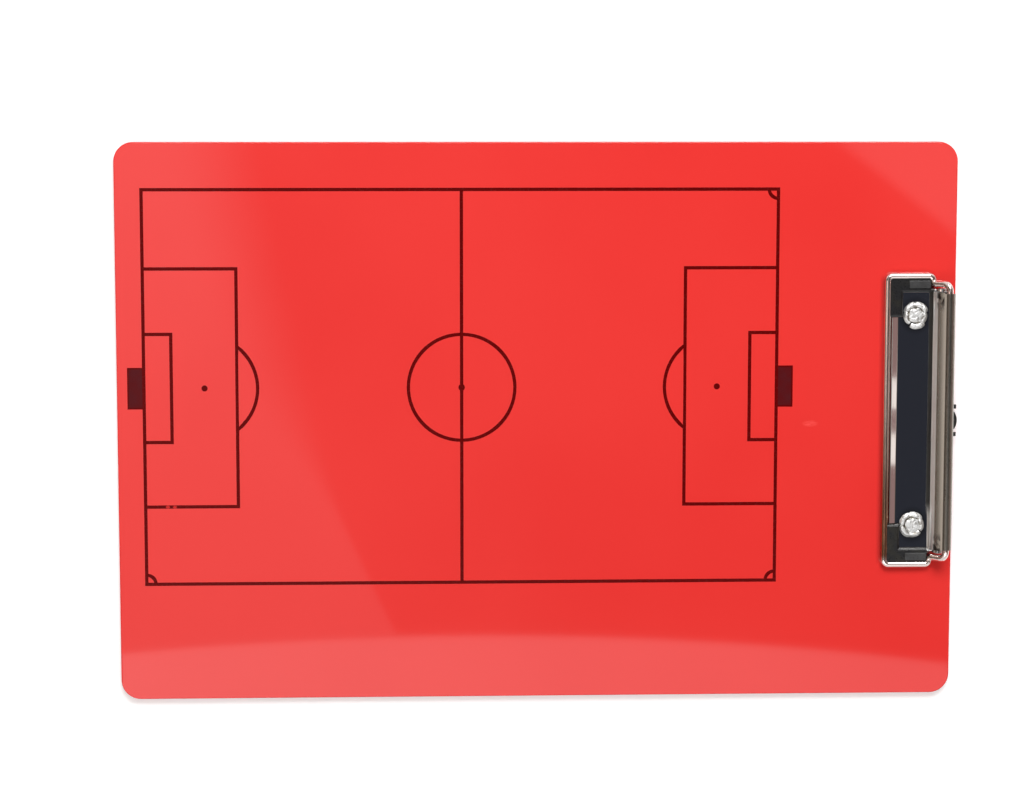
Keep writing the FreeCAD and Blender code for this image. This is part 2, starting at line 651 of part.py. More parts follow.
def make_press_lever():
    body = new_body("press_lever", hinge_x, ZERO, hinge_z)
    apron_inner = coil_outer + size.apron_gap
    apron_outer = apron_inner + size.clip_sheet
    along = (cosine(size.ridge_angle), sine(size.ridge_angle))
    across = (-along[1], along[0])
    curl = (size.curl_reach, size.curl_height)
    curl_level = curl[0] * across[0] + curl[1] * across[1]

    def from_centre(centre, reach, way):
        return (centre[0] + reach * way[0], centre[1] + reach * way[1])

    def ridge_start(apron, curl_radius):
        """Where the line that leaves the curl's circle at a tangent meets the apron's circle."""
        level = curl_level + curl_radius
        run = root(apron * apron - level * level)
        return (level * across[0] + run * along[0], level * across[1] + run * along[1])

    hinge = (ZERO, ZERO)
    tip = (cosine(size.apron_angle), sine(size.apron_angle))
    lip = (cosine(size.curl_end_angle), sine(size.curl_end_angle))
    corners = [
        from_centre(hinge, apron_outer, tip),
        ridge_start(apron_outer, curl_outer),
        from_centre(curl, curl_outer, across),
        from_centre(curl, curl_outer, lip),
        from_centre(curl, curl_inner, lip),
        from_centre(curl, curl_inner, across),
        ridge_start(apron_inner, curl_inner),
        from_centre(hinge, apron_inner, tip),
    ]
    profile = new_sketch(body, "profile", "XZ_Plane")
    outline(profile, corners, {0: (hinge, apron_outer, -1), 2: (curl, curl_outer, -1),
                               4: (curl, curl_inner, 1), 6: (hinge, apron_inner, 1)})
    pad(body, profile, lever_half * 2, symmetric=True)

    # The curl stops short of both ends, where the bow turns into it
    trim = new_sketch(body, "curl_ends")
    for side in (1, -1):
        low, high = sorted(((lever_half - size.curl_setback) * side, (lever_half + size.overrun) * side),
                           key=lambda edge: edge.value)
        rectangle(trim, size.curl_reach - curl_outer, size.curl_reach + curl_outer + size.overrun, low, high)
    pocket(body, trim, size.curl_height + curl_outer + size.overrun)

    # The apron is notched where the tunnel passes under it
    notch = new_sketch(body, "tunnel_notch", "XY_Plane", -apron_outer)
    notch_half = tunnel_half + size.tunnel_notch_gap
    rectangle(notch, -apron_outer - size.overrun, ZERO, -notch_half, notch_half)
    pocket(body, notch, apron_outer - hinge_height + tunnel_top + size.tunnel_notch_gap)

    # End cheeks that hang on the pin, opened between
    upper = apron_inner + size.clip_sheet / 2
    lower = hinge_height - size.clip_sheet - size.cheek_gap
    cheeks = new_sketch(body, "cheeks", "XZ_Plane", lever_half - size.clip_sheet)
    outline(cheeks, [(-upper, ZERO), (upper, ZERO), (lower, ZERO), (-lower, ZERO)],
            {0: (hinge, upper, -1), 2: (hinge, lower, -1)})
    cheek = pad(body, cheeks, size.clip_sheet)
    mirrored(body, [cheek], "XZ_Plane")
    bores = new_sketch(body, "pin_bores", "XZ_Plane")
    circle(bores, ZERO, ZERO, pin_radius + size.pin_turn_gap)
    pocket(body, bores, lever_half * 2 + size.overrun, symmetric=True)
    nodes.append(body)


def bow_path():
    """Middle line of the wire over the upper half, from the front run to the rear run in the curl."""
    front_x = hinge_x - size.bow_reach
    low_z = size.board_thick + bow_z
    high_z = hinge_z + size.curl_height
    inner_y = plate_half + size.pin_head_thick + size.joggle_gap + wire_radius
    points = [
        vector(front_x, ZERO, low_z),
        vector(front_x, bow_half, low_z),
        vector(hinge_x - size.joggle_front, bow_half, low_z),
        vector(hinge_x - size.joggle_rear, inner_y, low_z),
        vector(hinge_x + size.curl_reach, inner_y, high_z),
        vector(hinge_x + size.curl_reach, ZERO, high_z),
    ]
    radii = [size.bow_corner, size.joggle_bend, size.joggle_bend, size.bow_rear_corner]
    return bent_path(points, [radius.value for radius in radii])


def make_jaw_bow():
    half = tube(bow_path(), wire_radius.value)
    other = half.mirror(FreeCAD.Vector(), FreeCAD.Vector(0, 1, 0))
    solid_piece("jaw_bow", half.fuse(other).removeSplitter().Solids[0])


def make_corner_pads():
    """An L-shaped plastic foot in each front corner of the bow, grooved for the wire."""
    body = new_body("pad_block", hinge_x, ZERO, size.board_thick)
    front = -size.bow_reach
    leg_y = flange_half + size.pad_leg_gap
    block_y = shoulder_half + size.pad_clear
    rear = -size.pad_rear
    corner = (front + size.bow_corner, bow_half - size.bow_corner)
    base = new_sketch(body, "block", "XY_Plane", size.pad_lift)
    outline(base, [(front, leg_y), (pad_leg_x, leg_y), (pad_leg_x, block_y), (rear, block_y),
                   (rear, bow_half), (corner[0], bow_half), (front, corner[1])],
            {5: (corner, size.bow_corner, 1)})
    pad(body, base, size.pad_height - size.pad_lift)
    top = size.pad_height.value
    inner_edges = (pad_leg_x.value, leg_y.value, block_y.value)

    def on_inner_rim(edge):
        spot = middle_of(edge)
        beside = near(spot.x, inner_edges[0]) or near(spot.y, inner_edges[1]) or near(spot.y, inner_edges[2])
        return near(edge.BoundBox.ZMin, top) and beside

    fillet(body, size.pad_round, on_inner_rim)
    raised = new_sketch(body, "raised_panel", "XY_Plane", size.pad_height)
    rectangle(raised, pad_leg_x + size.panel_setback, rear - size.panel_margin,
              block_y + size.pad_round + size.panel_margin * 2, bow_half - wire_radius - size.panel_margin)
    pad(body, raised, size.panel_rise)
    panel_top = (size.pad_height + size.panel_rise).value
    fillet(body, size.panel_round, lambda edge: near(edge.BoundBox.ZMin, panel_top))
    sole = new_sketch(body, "sole", "XY_Plane", size.pad_lift)
    edge_reach = wire_radius - size.sole_margin
    edge_corner = size.bow_corner + edge_reach
    outline(sole, [(front - edge_reach, leg_y), (pad_leg_x, leg_y), (pad_leg_x, block_y), (rear, block_y),
                   (rear, bow_half + edge_reach), (corner[0], bow_half + edge_reach),
                   (front - edge_reach, corner[1])],
            {5: (corner, edge_corner, 1)})
    pad(body, sole, size.sole_thick)
    groove = doc.addObject("Part::Feature", "wire_groove")
    groove.Shape = tube(bow_path(), (wire_radius + size.groove_gap).value)
    upper = doc.addObject("Part::Cut", "corner_pad_upper")
    upper.Base = body
    upper.Tool = groove
    lower = doc.addObject("Part::Mirroring", "corner_pad_lower")
    lower.Source = upper
    lower.Normal = FreeCAD.Vector(0, 1, 0)
    for piece, label in ((upper, "corner_pad_upper"), (lower, "corner_pad_lower")):
        piece.Label = label
        nodes.append(piece)


# Torsion springs on the pin, under the lever

def quarter_turn(start, start_way, end, end_way):
    """Two arcs that join two points of a coil and keep its direction at both."""
    span = end - start
    ways = start_way + end_way
    spread = 2 * (1 - start_way.dot(end_way))
    pull = span.dot(ways)
    reach = (math.sqrt(pull * pull + spread * span.dot(span)) - pull) / spread
    first = start + start_way * reach
    second = end - end_way * reach
    joint = (first + second) / 2
    return [arc_edge(start, first, joint), arc_edge(joint, second, end)]


def make_springs():
    """A coil round the pin with one leg down on the base plate and one up under the lever's curl."""
    radius = coil_radius.value
    thick = size.spring_wire.value
    first = math.radians(size.plate_leg_angle.value)
    last = math.radians(size.lever_leg_angle.value) + 2 * math.pi * size.spring_turns.value
    rise = size.spring_pitch.value / (2 * math.pi)
    middle = vector(hinge_x, size.spring_place, hinge_z)

    def coil_point(angle):
        along = rise * (angle - first)
        return middle + FreeCAD.Vector(radius * math.cos(angle), along, radius * math.sin(angle))

    def coil_way(angle):
        return FreeCAD.Vector(-radius * math.sin(angle), rise, radius * math.cos(angle)).normalize()

    pieces = math.ceil((last - first) / (math.pi / 2))
    stops = [first + (last - first) * number / pieces for number in range(pieces + 1)]
    foot_z = (size.board_thick + size.clip_sheet + size.spring_wire / 2 + size.spring_leg_gap).value
    start, start_way = coil_point(first), coil_way(first)
    foot = start - start_way * ((foot_z - start.z) / -start_way.z)
    end, end_way = coil_point(last), coil_way(last)
    edges = [Part.LineSegment(foot, start).toShape()]
    for before, after in zip(stops, stops[1:]):
        edges += quarter_turn(coil_point(before), coil_way(before), coil_point(after), coil_way(after))
    edges.append(Part.LineSegment(end, end + end_way * size.lever_leg.value).toShape())
    upper = solid_piece("torsion_spring_upper", tube(edges, thick / 2))
    print_self_gap(edges, thick)
    lower = doc.addObject("Part::Mirroring", "torsion_spring_lower")
    lower.Label = "torsion_spring_lower"
    lower.Source = upper
    lower.Normal = FreeCAD.Vector(0, 1, 0)
    nodes.append(lower)


# Points on each stretch of wire that the gap between turns is measured on
SPOTS_PER_EDGE = 12


def print_self_gap(edges, thick):
    """Least free gap between stretches of a wire that lie more than a half turn apart along it."""
    points = []
    run = 0.0
    for edge in edges:
        for spot in edge.discretize(Number=SPOTS_PER_EDGE)[:-1]:
            run += (spot - points[-1][1]).Length if points else 0.0
            points.append((run, spot))
    half_turn = math.pi * coil_radius.value
    gap = min((spot - other).Length for here, spot in points for there, other in points
              if there - here > half_turn)
    print(f"spring: least gap between turns {gap - thick:.2f} mm")


# Hanging tab, which slides out past the end of the panel

def make_hanging_tab():
    body = new_body("hanging_tab", hinge_x, ZERO, size.board_thick)
    base = new_sketch(body, "outline", "XY_Plane", size.tab_lift)
    bar_rear = size.chamber_rear - size.tab_travel - size.tab_stop_gap
    bar_front = size.clip_sheet - size.tunnel_front + size.tab_stop_gap
    half_bar = size.bar_width / 2
    half = size.tab_width / 2
    lobe = size.tab_nose - size.shoulder_back
    notch = size.tab_nose - size.finger_back
    half_nose = size.nose_width / 2
    lobe_y = half - size.shoulder_width
    nose_x = size.tab_nose - size.nose_bulge
    nose_radius = (half_nose * half_nose + size.nose_bulge * size.nose_bulge) / (size.nose_bulge * 2)
    nose_centre = (size.tab_nose - nose_radius, ZERO)
    outline(base, [(bar_front, -half_bar), (bar_rear, -half_bar), (bar_rear, -half), (lobe, -half),
                   (lobe, -lobe_y), (notch, -lobe_y), (notch, -half_nose), (nose_x, -half_nose),
                   (nose_x, half_nose), (notch, half_nose), (notch, lobe_y), (lobe, lobe_y),
                   (lobe, half), (bar_rear, half), (bar_rear, half_bar), (bar_front, half_bar)],
            {7: (nose_centre, nose_radius, 1)})
    pad(body, base, size.tab_thick)
    hole = new_sketch(body, "hang_hole")
    circle(hole, size.tab_nose - size.hang_hole_back, ZERO, size.hang_hole_dia / 2)
    pocket(body, hole, tab_top + size.overrun)
    nodes.append(body)


make_board_panel()
make_pitch_lines()
make_penalty_spots()
make_goal_blocks()
make_base_plate()
make_rivet("rivet_upper", 1)
make_rivet("rivet_lower", -1)
make_hinge_pin()
make_press_lever()
make_jaw_bow()
make_corner_pads()
make_springs()
make_hanging_tab()
doc.recompute()

failed = [thing.Name for thing in doc.Objects if {"Invalid", "Error"} & set(thing.State)]
failed += [node.Label for node in nodes if node.Shape.isNull() or not node.Shape.isValid()]
if failed:
    raise RuntimeError(f"failed: {failed}")
os.makedirs("parts", exist_ok=True)
for node in nodes:
    node.Shape.exportStep(f"parts/{node.Label}.step")
    box = node.Shape.BoundBox
    print(f"{node.Label}: {len(node.Shape.Solids)} solid, {node.Shape.Volume:.1f} mm3, "
          f"x {box.XMin:.2f} to {box.XMax:.2f}, y {box.YMin:.2f} to {box.YMax:.2f}, "
          f"z {box.ZMin:.2f} to {box.ZMax:.2f}")
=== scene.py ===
"""Finishes, printed lines, rivets, springs and studio for a plastic tactics board with a sprung wire clip.

Lengths are metres in the board's own frame: the origin is the middle of the panel's back face, X runs
along the panel towards the clip, Y across it and Z out of the printed face.
"""

import json
import math

import bmesh
import bpy
from bpy.props import FloatProperty, FloatVectorProperty, IntProperty, PointerProperty
from mathutils import Euler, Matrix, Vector


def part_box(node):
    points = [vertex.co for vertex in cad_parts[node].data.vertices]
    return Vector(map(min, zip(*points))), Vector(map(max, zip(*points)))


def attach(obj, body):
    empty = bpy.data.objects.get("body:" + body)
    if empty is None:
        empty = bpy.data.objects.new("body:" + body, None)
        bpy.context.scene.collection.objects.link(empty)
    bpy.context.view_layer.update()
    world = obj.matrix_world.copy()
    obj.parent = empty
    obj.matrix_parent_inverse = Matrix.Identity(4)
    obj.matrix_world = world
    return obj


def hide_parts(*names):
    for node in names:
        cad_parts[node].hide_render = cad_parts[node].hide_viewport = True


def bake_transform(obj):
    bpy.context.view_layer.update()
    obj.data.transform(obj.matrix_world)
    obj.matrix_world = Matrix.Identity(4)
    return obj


bl_info = {
    "name": "Tactics Board Looks",
    "version": (1, 0, 0),
    "blender": (4, 5, 0),
    "location": "3D View > Sidebar > Tactics Board",
    "description": "Finishes a clip-end tactics board and sets it in a plain studio",
    "category": "Object",
}

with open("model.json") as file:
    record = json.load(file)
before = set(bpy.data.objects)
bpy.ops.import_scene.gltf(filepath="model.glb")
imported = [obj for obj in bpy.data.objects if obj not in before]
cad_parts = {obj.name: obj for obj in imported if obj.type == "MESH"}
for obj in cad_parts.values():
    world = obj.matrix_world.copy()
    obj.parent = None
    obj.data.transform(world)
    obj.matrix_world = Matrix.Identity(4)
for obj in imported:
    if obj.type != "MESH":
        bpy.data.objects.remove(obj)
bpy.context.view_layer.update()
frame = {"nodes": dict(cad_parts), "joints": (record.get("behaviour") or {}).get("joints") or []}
nodes = frame["nodes"]

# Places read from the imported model
PANEL_LOW, PANEL_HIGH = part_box("board_panel")
HINGE = Vector(next(joint for joint in frame["joints"] if joint["name"] == "clamp_hinge")["pos_m"])
RIVET_LOW, RIVET_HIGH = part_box("rivet_upper")
RIVET_MIDDLE = (RIVET_LOW + RIVET_HIGH) / 2
PAD_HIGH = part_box("corner_pad_upper")[1]
GOALS_LOW, GOALS_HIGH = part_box("goal_blocks")
PLATE_LOW, PLATE_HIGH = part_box("base_plate")
LEVER_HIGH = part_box("press_lever")[1]
BOW_LOW, BOW_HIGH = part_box("jaw_bow")


def colour(name, description, default):
    return FloatVectorProperty(name=name, description=description, default=default, subtype="COLOR",
                               size=3, min=0.0, max=1.0)


def length(name, description, default):
    return FloatProperty(name=name, description=description, default=default, unit="LENGTH", precision=5)


def share(name, description, default):
    return FloatProperty(name=name, description=description, default=default, min=0.0, max=1.0,
                         subtype="FACTOR")


def angle(name, description, default):
    return FloatProperty(name=name, description=description, default=math.radians(default), subtype="ANGLE")


def amount(name, description, default):
    return FloatProperty(name=name, description=description, default=default, min=0.0)


class BoardLook(bpy.types.PropertyGroup):
    """Colours and wear of the printed panel."""

    red: colour("Red", "Plastic of the panel", (0.855, 0.043, 0.037))
    red_deep: colour("Deep red", "Slow clouds in the plastic, and its cut edges", (0.815, 0.033, 0.029))
    # Painted shade: red for the gaps under the clip and for a soft band beside the bow
    red_painted_shade: colour("Shaded red", "Plastic in the narrow gaps under the clip", (0.15, 0.012, 0.012))
    rubbed: colour("Rubbed red", "Plastic where something has scraped it", (0.98, 0.10, 0.09))
    ink: colour("Ink", "Screen-printed lines", (0.12, 0.001, 0.001))
    ink_fill: colour("Thin ink", "Filled goal blocks, where the red shows through", (0.088, 0.009, 0.012))
    ink_spread: length("Ink spread", "How far the ink has run past the lines' edges", 0.0002)
    ink_shine: share("Ink shine", "Specular level of the ink", 0.1)
    gloss: share("Gloss roughness", "Roughness of the panel's face", 0.03)
    waviness: length("Waviness", "Height of the slow waves in the sheet", 0.00002)
    goal_border: length("Goal border", "Full ink round the goal blocks", 0.0007)


class ClipLook(bpy.types.PropertyGroup):
    """Colours and small sizes of the clip."""

    chrome: colour("Chrome", "Plated sheet of the plate and the lever", (0.83, 0.82, 0.81))
    wire: colour("Wire", "Plated wire of the bow", (0.82, 0.70, 0.66))
    # Painted reflection: a darker, browner tone for the lower half of the bow's front run, in place of a
    # dimmer reflection
    wire_painted_dim: colour("Dimmed", "Lower half of the bow's gripping run", (0.40, 0.20, 0.12))
    # Painted shade: darker metal round the rivets on the plate, in the lever's crease and on the outer side
    # of its curl; it also darkens patches of the rivets' groove
    shade_and_grime: colour("Shade_and_grime", "Metal in creases and round the rivets", (0.33, 0.31, 0.27))
    # Painted shade: the top of the lever's curl is darkened in place of a darker reflection
    curl_painted_shade: colour("Darkened chrome", "Top of the lever's curl, where thumbs press", (0.17, 0.155, 0.135))
    # Real stains on the lever, and painted shade in the plate's corner before the lever
    deep_stain_and_shade: colour("Deep grime", "Stains on the lever and in the corner by it", (0.065, 0.062, 0.058))
    rivet: colour("Rivet", "Bright plated rivets", (0.76, 0.76, 0.75))
    steel: colour("Steel", "Hinge pin and springs", (0.56, 0.56, 0.57))
    black: colour("Black", "Pads and hanging tab", (0.006, 0.006, 0.007))
    black_dusty: colour("Dusty black", "Smears on the pads and tab", (0.015, 0.0135, 0.0095))
    # Painted sheen and wear: the raised panels' paler tone stands in partly for a soft reflection
    black_worn_sheen: colour("Sheened_worn black", "Raised panels of the pads", (0.052, 0.052, 0.053))
    petals: IntProperty(name="Petals", description="Lips that each rivet splits into", default=5, min=3)
    petal_crest: length("Petal crest", "Rolled lips above the base plate", 0.0013)
    disc_radius: length("Disc radius", "Middle of the rivet inside the lips", 0.0032)
    shank_radius: length("Shank radius", "Rivet through the panel", 0.0025)
    back_head: length("Back head", "Radius of the rivet's flat head", 0.0045)
    back_head_thick: length("Back head thickness", "Flat head let into the back", 0.0009)
    spring_wire: length("Spring wire", "Diameter of the torsion springs' wire", 0.001)
    spring_radius: length("Coil radius", "Coil at the middle of the wire", 0.0018)
    spring_pitch: length("Coil pitch", "Coil step along the pin", 0.00145)
    spring_place: length("Coil place", "Inner end of each coil from the middle", 0.024)
    spring_start: angle("Coil start", "Turn where the leg to the plate leaves", 38.0)
    spring_end: angle("Coil end", "Turn where the leg to the lever leaves", 4 * 360.0 - 25.0)
    plate_leg: length("Plate leg", "Straight leg down to the base plate", 0.00423)
    lever_leg: length("Lever leg", "Straight leg up under the lever", 0.0027)


class StageLook(bpy.types.PropertyGroup):
    """Studio round the board."""

    ceiling_height: length("Ceiling height", "Card over the board and the camera", 1.7)
    ceiling_dark: colour("Ceiling", "Unlit middle of the card", (0.026, 0.028, 0.038))
    middle_glow: amount("Middle glow", "Faint light over the middle of the board", 0.20)
    left_glow: amount("Left glow", "Light along the near left of the card", 0.66)
    left_far_glow: amount("Far left glow", "Light along the far left of the card", 1.15)
    corner_glow: amount("Corner glow", "Light in the far right corner of the card", 0.75)
    ceiling_far: colour("Far ceiling", "Card beyond what the panel mirrors", (0.10, 0.082, 0.063))
    left_low: colour("Left band", "Pale band of the left card", (0.49, 0.42, 0.355))
    left_high: colour("Left card", "Rest of the left card", (0.13, 0.112, 0.088))
    right_low: colour("Right band", "Pale foot of the right card", (0.345, 0.208, 0.20))
    right_high: colour("Right card", "Rest of the right card", (0.11, 0.09, 0.075))
    far_left: colour("Far left", "Pale patch where the ceiling meets the left card", (0.80, 0.60, 0.54))
    patch_power: amount("Patch power", "Brightness of the far left patch", 2.0)
    window: colour("Windows", "Two bright strips on the right card", (1.0, 0.90, 0.85))
    floor_white: share("Floor", "Paint of the floor", 0.8)
    floor_glow: share("Floor glow", "Own light of the floor as seen and mirrored", 0.35)
    ambient: share("Ambient", "Light from the room all round", 0.35)
    key_power: FloatProperty(name="Key", description="Soft lamp above the board", default=23.7,
                             unit="POWER")


LOOKS = {"board_look": BoardLook, "clip_look": ClipLook, "stage_look": StageLook}


class Recipe:
    """Short calls for the nodes of one tree."""

    def __init__(self, tree):
        self.tree = tree
        tree.nodes.clear()

    def add(self, kind, sockets=None, **settings):
        made = self.tree.nodes.new(kind)
        for name, value in settings.items():
            setattr(made, name, value)
        for name, value in (sockets or {}).items():
            if isinstance(value, bpy.types.NodeSocket):
                self.tree.links.new(value, made.inputs[name])
            else:
                made.inputs[name].default_value = value
        return made

    def maths(self, operation, *terms):
        return self.add("ShaderNodeMath", dict(enumerate(terms)), operation=operation).outputs[0]

    def times(self, first, *others):
        """The product of all terms."""
        for other in others:
            first = self.maths("MULTIPLY", first, other)
        return first

    def most(self, first, *others):
        """The highest of all terms."""
        for other in others:
            first = self.maths("MAXIMUM", first, other)
        return first

    def raised(self, base, mask, gain):
        """A base with a gain added where the mask is 1."""
        return self.maths("MULTIPLY_ADD", mask, gain, base)

    def held(self, value, top):
        """A value kept between 0 and a top."""
        return self.most(self.maths("MINIMUM", value, top), 0.0)

    def off(self, value, middle):
        """How far a value is from a middle."""
        return self.maths("ABSOLUTE", self.maths("SUBTRACT", value, middle))

    def curve(self, value, *factors):
        """A polynomial of value, with its factors from the highest power down."""
        total = factors[0]
        for factor in factors[1:]:
            total = self.maths("MULTIPLY_ADD", total, value, factor)
        return total

    def place(self, scale=None, turn=0.0):
        """Object coordinates, or these stretched and turned about Z."""
        spot = self.add("ShaderNodeTexCoord").outputs["Object"]
        if not scale:
            return spot
        sockets = {"Vector": spot, "Rotation": Euler((0.0, 0.0, turn)), "Scale": Vector(scale)}
        return self.add("ShaderNodeMapping", sockets).outputs["Vector"]

    def parts(self, vector):
        return self.add("ShaderNodeSeparateXYZ", {"Vector": vector}).outputs

    def facing(self):
        """Parts of the surface's own direction."""
        return self.parts(self.add("ShaderNodeTexCoord").outputs["Normal"])

    def joined(self, x, y, z):
        return self.add("ShaderNodeCombineXYZ", {"X": x, "Y": y, "Z": z}).outputs[0]

    def length(self, vector):
        return self.add("ShaderNodeVectorMath", {0: vector}, operation="LENGTH").outputs["Value"]

    def noise(self, place, scale, detail=2.0):
        sockets = {"Vector": place, "Scale": scale, "Detail": detail}
        return self.add("ShaderNodeTexNoise", sockets).outputs[0]

    def ease(self, value, start, end, low=0.0, high=1.0):
        """Goes smoothly from low at start to high at end."""
        sockets = {"Value": value, "From Min": start, "From Max": end, "To Min": low, "To Max": high}
        return self.add("ShaderNodeMapRange", sockets, interpolation_type="SMOOTHSTEP").outputs["Result"]

    def patches(self, place, scale, ramp, low=0.0, high=1.0, detail=2.0):
        """Patches of a noise, which go from low to high along the ramp."""
        return self.ease(self.noise(place, scale, detail), *ramp, low, high)

    def within(self, value, low, high, blur):
        """1 between two ends, and 0 outside them."""
        return self.times(self.ease(value, low - blur, low), self.ease(value, high + blur, high))

    def oval(self, x, y, centre, reach):
        """Falls from 1 in the middle of an oval to 0 at its edge."""
        squares = []
        for value, middle, half in ((x, centre[0], reach[0]), (y, centre[1], reach[1])):
            way = self.maths("MULTIPLY_ADD", value, 1.0 / half, -middle / half)
            squares.append(self.times(way, way))
        return self.ease(self.maths("ADD", *squares), 1.0, 0.0)

    def mix(self, amount, first, second):
        made = self.add("ShaderNodeMix", {0: amount}, data_type="RGBA")
        for socket, value in ((made.inputs[6], first), (made.inputs[7], second)):
            if isinstance(value, bpy.types.NodeSocket):
                self.tree.links.new(value, socket)
            else:
                socket.default_value = (*value, 1.0)
        return made.outputs[2]

    def bump(self, height, distance, over=None):
        """A normal for a height, laid over another normal where one is given."""
        sockets = {"Height": height, "Distance": distance}
        if over:
            sockets["Normal"] = over
        return self.add("ShaderNodeBump", sockets).outputs["Normal"]

    def surface(self, sockets):
        shader = self.add("ShaderNodeBsdfPrincipled", sockets)
        self.add("ShaderNodeOutputMaterial", {"Surface": shader.outputs[0]})

    def metal(self, tone, rough, normal):
        self.surface({"Base Color": tone, "Metallic": 1.0, "Roughness": rough, "Normal": normal})


def new_material(name):
    material = bpy.data.materials.new(name)
    material.use_nodes = True
    return material, Recipe(material.node_tree)


def dress(node_name, material):
    """Gives a CAD node its finish."""
    mesh = nodes[node_name].data
    mesh.materials.clear()
    mesh.materials.append(material)


# Finishes, where noise scales are per metre and a ramp is the two values that a patch fades between

EVEN_RAMP, FINE_DETAIL = (0.3, 0.7), 3.0

# A scraped mark on the bare red by the clip, and two chips in one line of the print
SCUFF_SPOT, SCUFF_REACH = (0.1128, -0.0011), (0.0038, 0.0016)
CHIP_SPOTS, CHIP_REACH = ((-0.1523, -0.0345), (-0.1494, -0.0346)), (0.0013, 0.0009)

# Rubbed lines of the metals, and the lowest and highest roughness that they give to each
LINE_DEPTH, SHEET_GRAIN, WIRE_GRAIN = 0.0000005, 5200.0, 3800.0
PLATE_ROUGH, LEVER_ROUGH, WIRE_ROUGH, STEEL_ROUGH = (0.02, 0.05), (0.12, 0.18), (0.12, 0.2), (0.2, 0.35)

# Middle roughness of the black plastics
PAD_ROUGH, TAB_ROUGH = 0.32, 0.4

# The lever's crease and the upper end of its slope from the hinge, as X and Z, and its crown's radius
LEVER_CREASE, LEVER_SLOPE_END, LEVER_CROWN = (-0.00197, 0.00289), (0.00068, 0.00605), 0.024


def clip_painted_shade(recipe, x, y):
    """Where painted shade darkens the panel: under the plate, and fainter along the bow's front run."""
    gap_front, gap_side, gap_back, gap_blur = 0.0008, 0.0024, 0.003, 0.0004
    under = recipe.times(recipe.within(x, PLATE_LOW.x - gap_front, HINGE.x - gap_back, gap_blur),
                         recipe.within(y, PLATE_LOW.y - gap_side, PLATE_HIGH.y + gap_side, gap_blur))
    # Painted shade: a fainter soft band along the left of the bow's front run
    strip_front, strip_back, strip_blur, strip_inset, strip_share = 0.0005, 0.002, 0.0016, 0.004, 0.3
    strip = recipe.times(recipe.within(x, BOW_LOW.x - strip_front, BOW_LOW.x + strip_back, strip_blur),
                         recipe.within(y, BOW_LOW.y + strip_inset, BOW_HIGH.y - strip_inset, strip_inset),
                         strip_share)
    return recipe.most(under, strip)


def red_plastic(look):
    """Glossy red sheet with faint clouds, hairline rubs, one scrape, painted shade under and beside the
    clip, and a dulled, darker rim.
    """
    cloud_scale, cloud_ramp, cloud_share, wave_scale = 9.0, (0.3, 0.8), 0.7, 7.0
    scrape_stretch, scrape_turn, scrape_ramp, scrape_share = (300.0, 2500.0, 1.0), 0.06, (0.3, 0.6), 0.8
    hair_stretch, hair_turn, hair_ramp = (900.0, 14.0, 1.0), 0.5, (0.70, 0.80)
    hair_rough, scrape_rough, rim_rough, rim_ramp = 0.05, 0.03, 0.3, (0.97, 0.6)
    front_start, front_end = PANEL_HIGH.z * 0.5, PANEL_HIGH.z * 0.9
    material, recipe = new_material("red_plastic")
    place = recipe.place()
    x, y, z = recipe.parts(place)
    rim = recipe.ease(recipe.maths("ABSOLUTE", recipe.facing()["Z"]), *rim_ramp)
    front = recipe.ease(z, front_start, front_end)
    clouds = recipe.patches(place, cloud_scale, cloud_ramp, 0.0, cloud_share)
    scrape = recipe.times(recipe.patches(recipe.place(scrape_stretch, scrape_turn), 1.0, scrape_ramp),
                          recipe.oval(x, y, SCUFF_SPOT, SCUFF_REACH), front)
    body = recipe.mix(clouds, look.red, look.red_deep)
    body = recipe.mix(recipe.times(scrape, scrape_share), body, look.rubbed)
    # Painted shade darkens the red under the plate and beside the bow
    body = recipe.mix(recipe.times(clip_painted_shade(recipe, x, y), front), body, look.red_painted_shade)
    hairlines = recipe.patches(recipe.place(hair_stretch, hair_turn), 1.0, hair_ramp)
    rough = recipe.raised(recipe.raised(look.gloss, hairlines, hair_rough), scrape, scrape_rough)
    recipe.surface({"Base Color": recipe.mix(rim, body, look.red_deep),
                    "Roughness": recipe.most(rough, recipe.times(rim, rim_rough)), "IOR": 1.5,
                    "Normal": recipe.bump(recipe.noise(place, wave_scale, 1.0), look.waviness)})
    return material


def worn_ink(recipe, look):
    """Ink with pinholes, and one line chipped down to the red."""
    hole_scale, hole_ramp, hole_share = 1900.0, (0.70, 0.80), 0.35
    crumb_scale, crumb_weight, chip_ramp, chip_share = 2600.0, 1.8, (1.35, 1.75), 0.65
    place = recipe.place()
    x, y, _ = recipe.parts(place)
    pinholes = recipe.patches(place, hole_scale, hole_ramp, 0.0, hole_share, FINE_DETAIL)
    chips = recipe.most(*(recipe.oval(x, y, spot, CHIP_REACH) for spot in CHIP_SPOTS))
    crumbs = recipe.raised(chips, recipe.noise(place, crumb_scale, FINE_DETAIL), crumb_weight)
    worn = recipe.ease(crumbs, *chip_ramp, 0.0, chip_share)
    return recipe.mix(recipe.most(worn, pinholes), look.ink, look.red)


def print_ink(look):
    """Dark ink of the lines and spots."""
    grain_scale, rough_low, rough_high = 900.0, 0.16, 0.3
    material, recipe = new_material("print_ink")
    rough = recipe.patches(recipe.place(), grain_scale, EVEN_RAMP, rough_low, rough_high)
    recipe.surface({"Base Color": worn_ink(recipe, look), "Roughness": rough,
                    "Specular IOR Level": look.ink_shine})
    return material


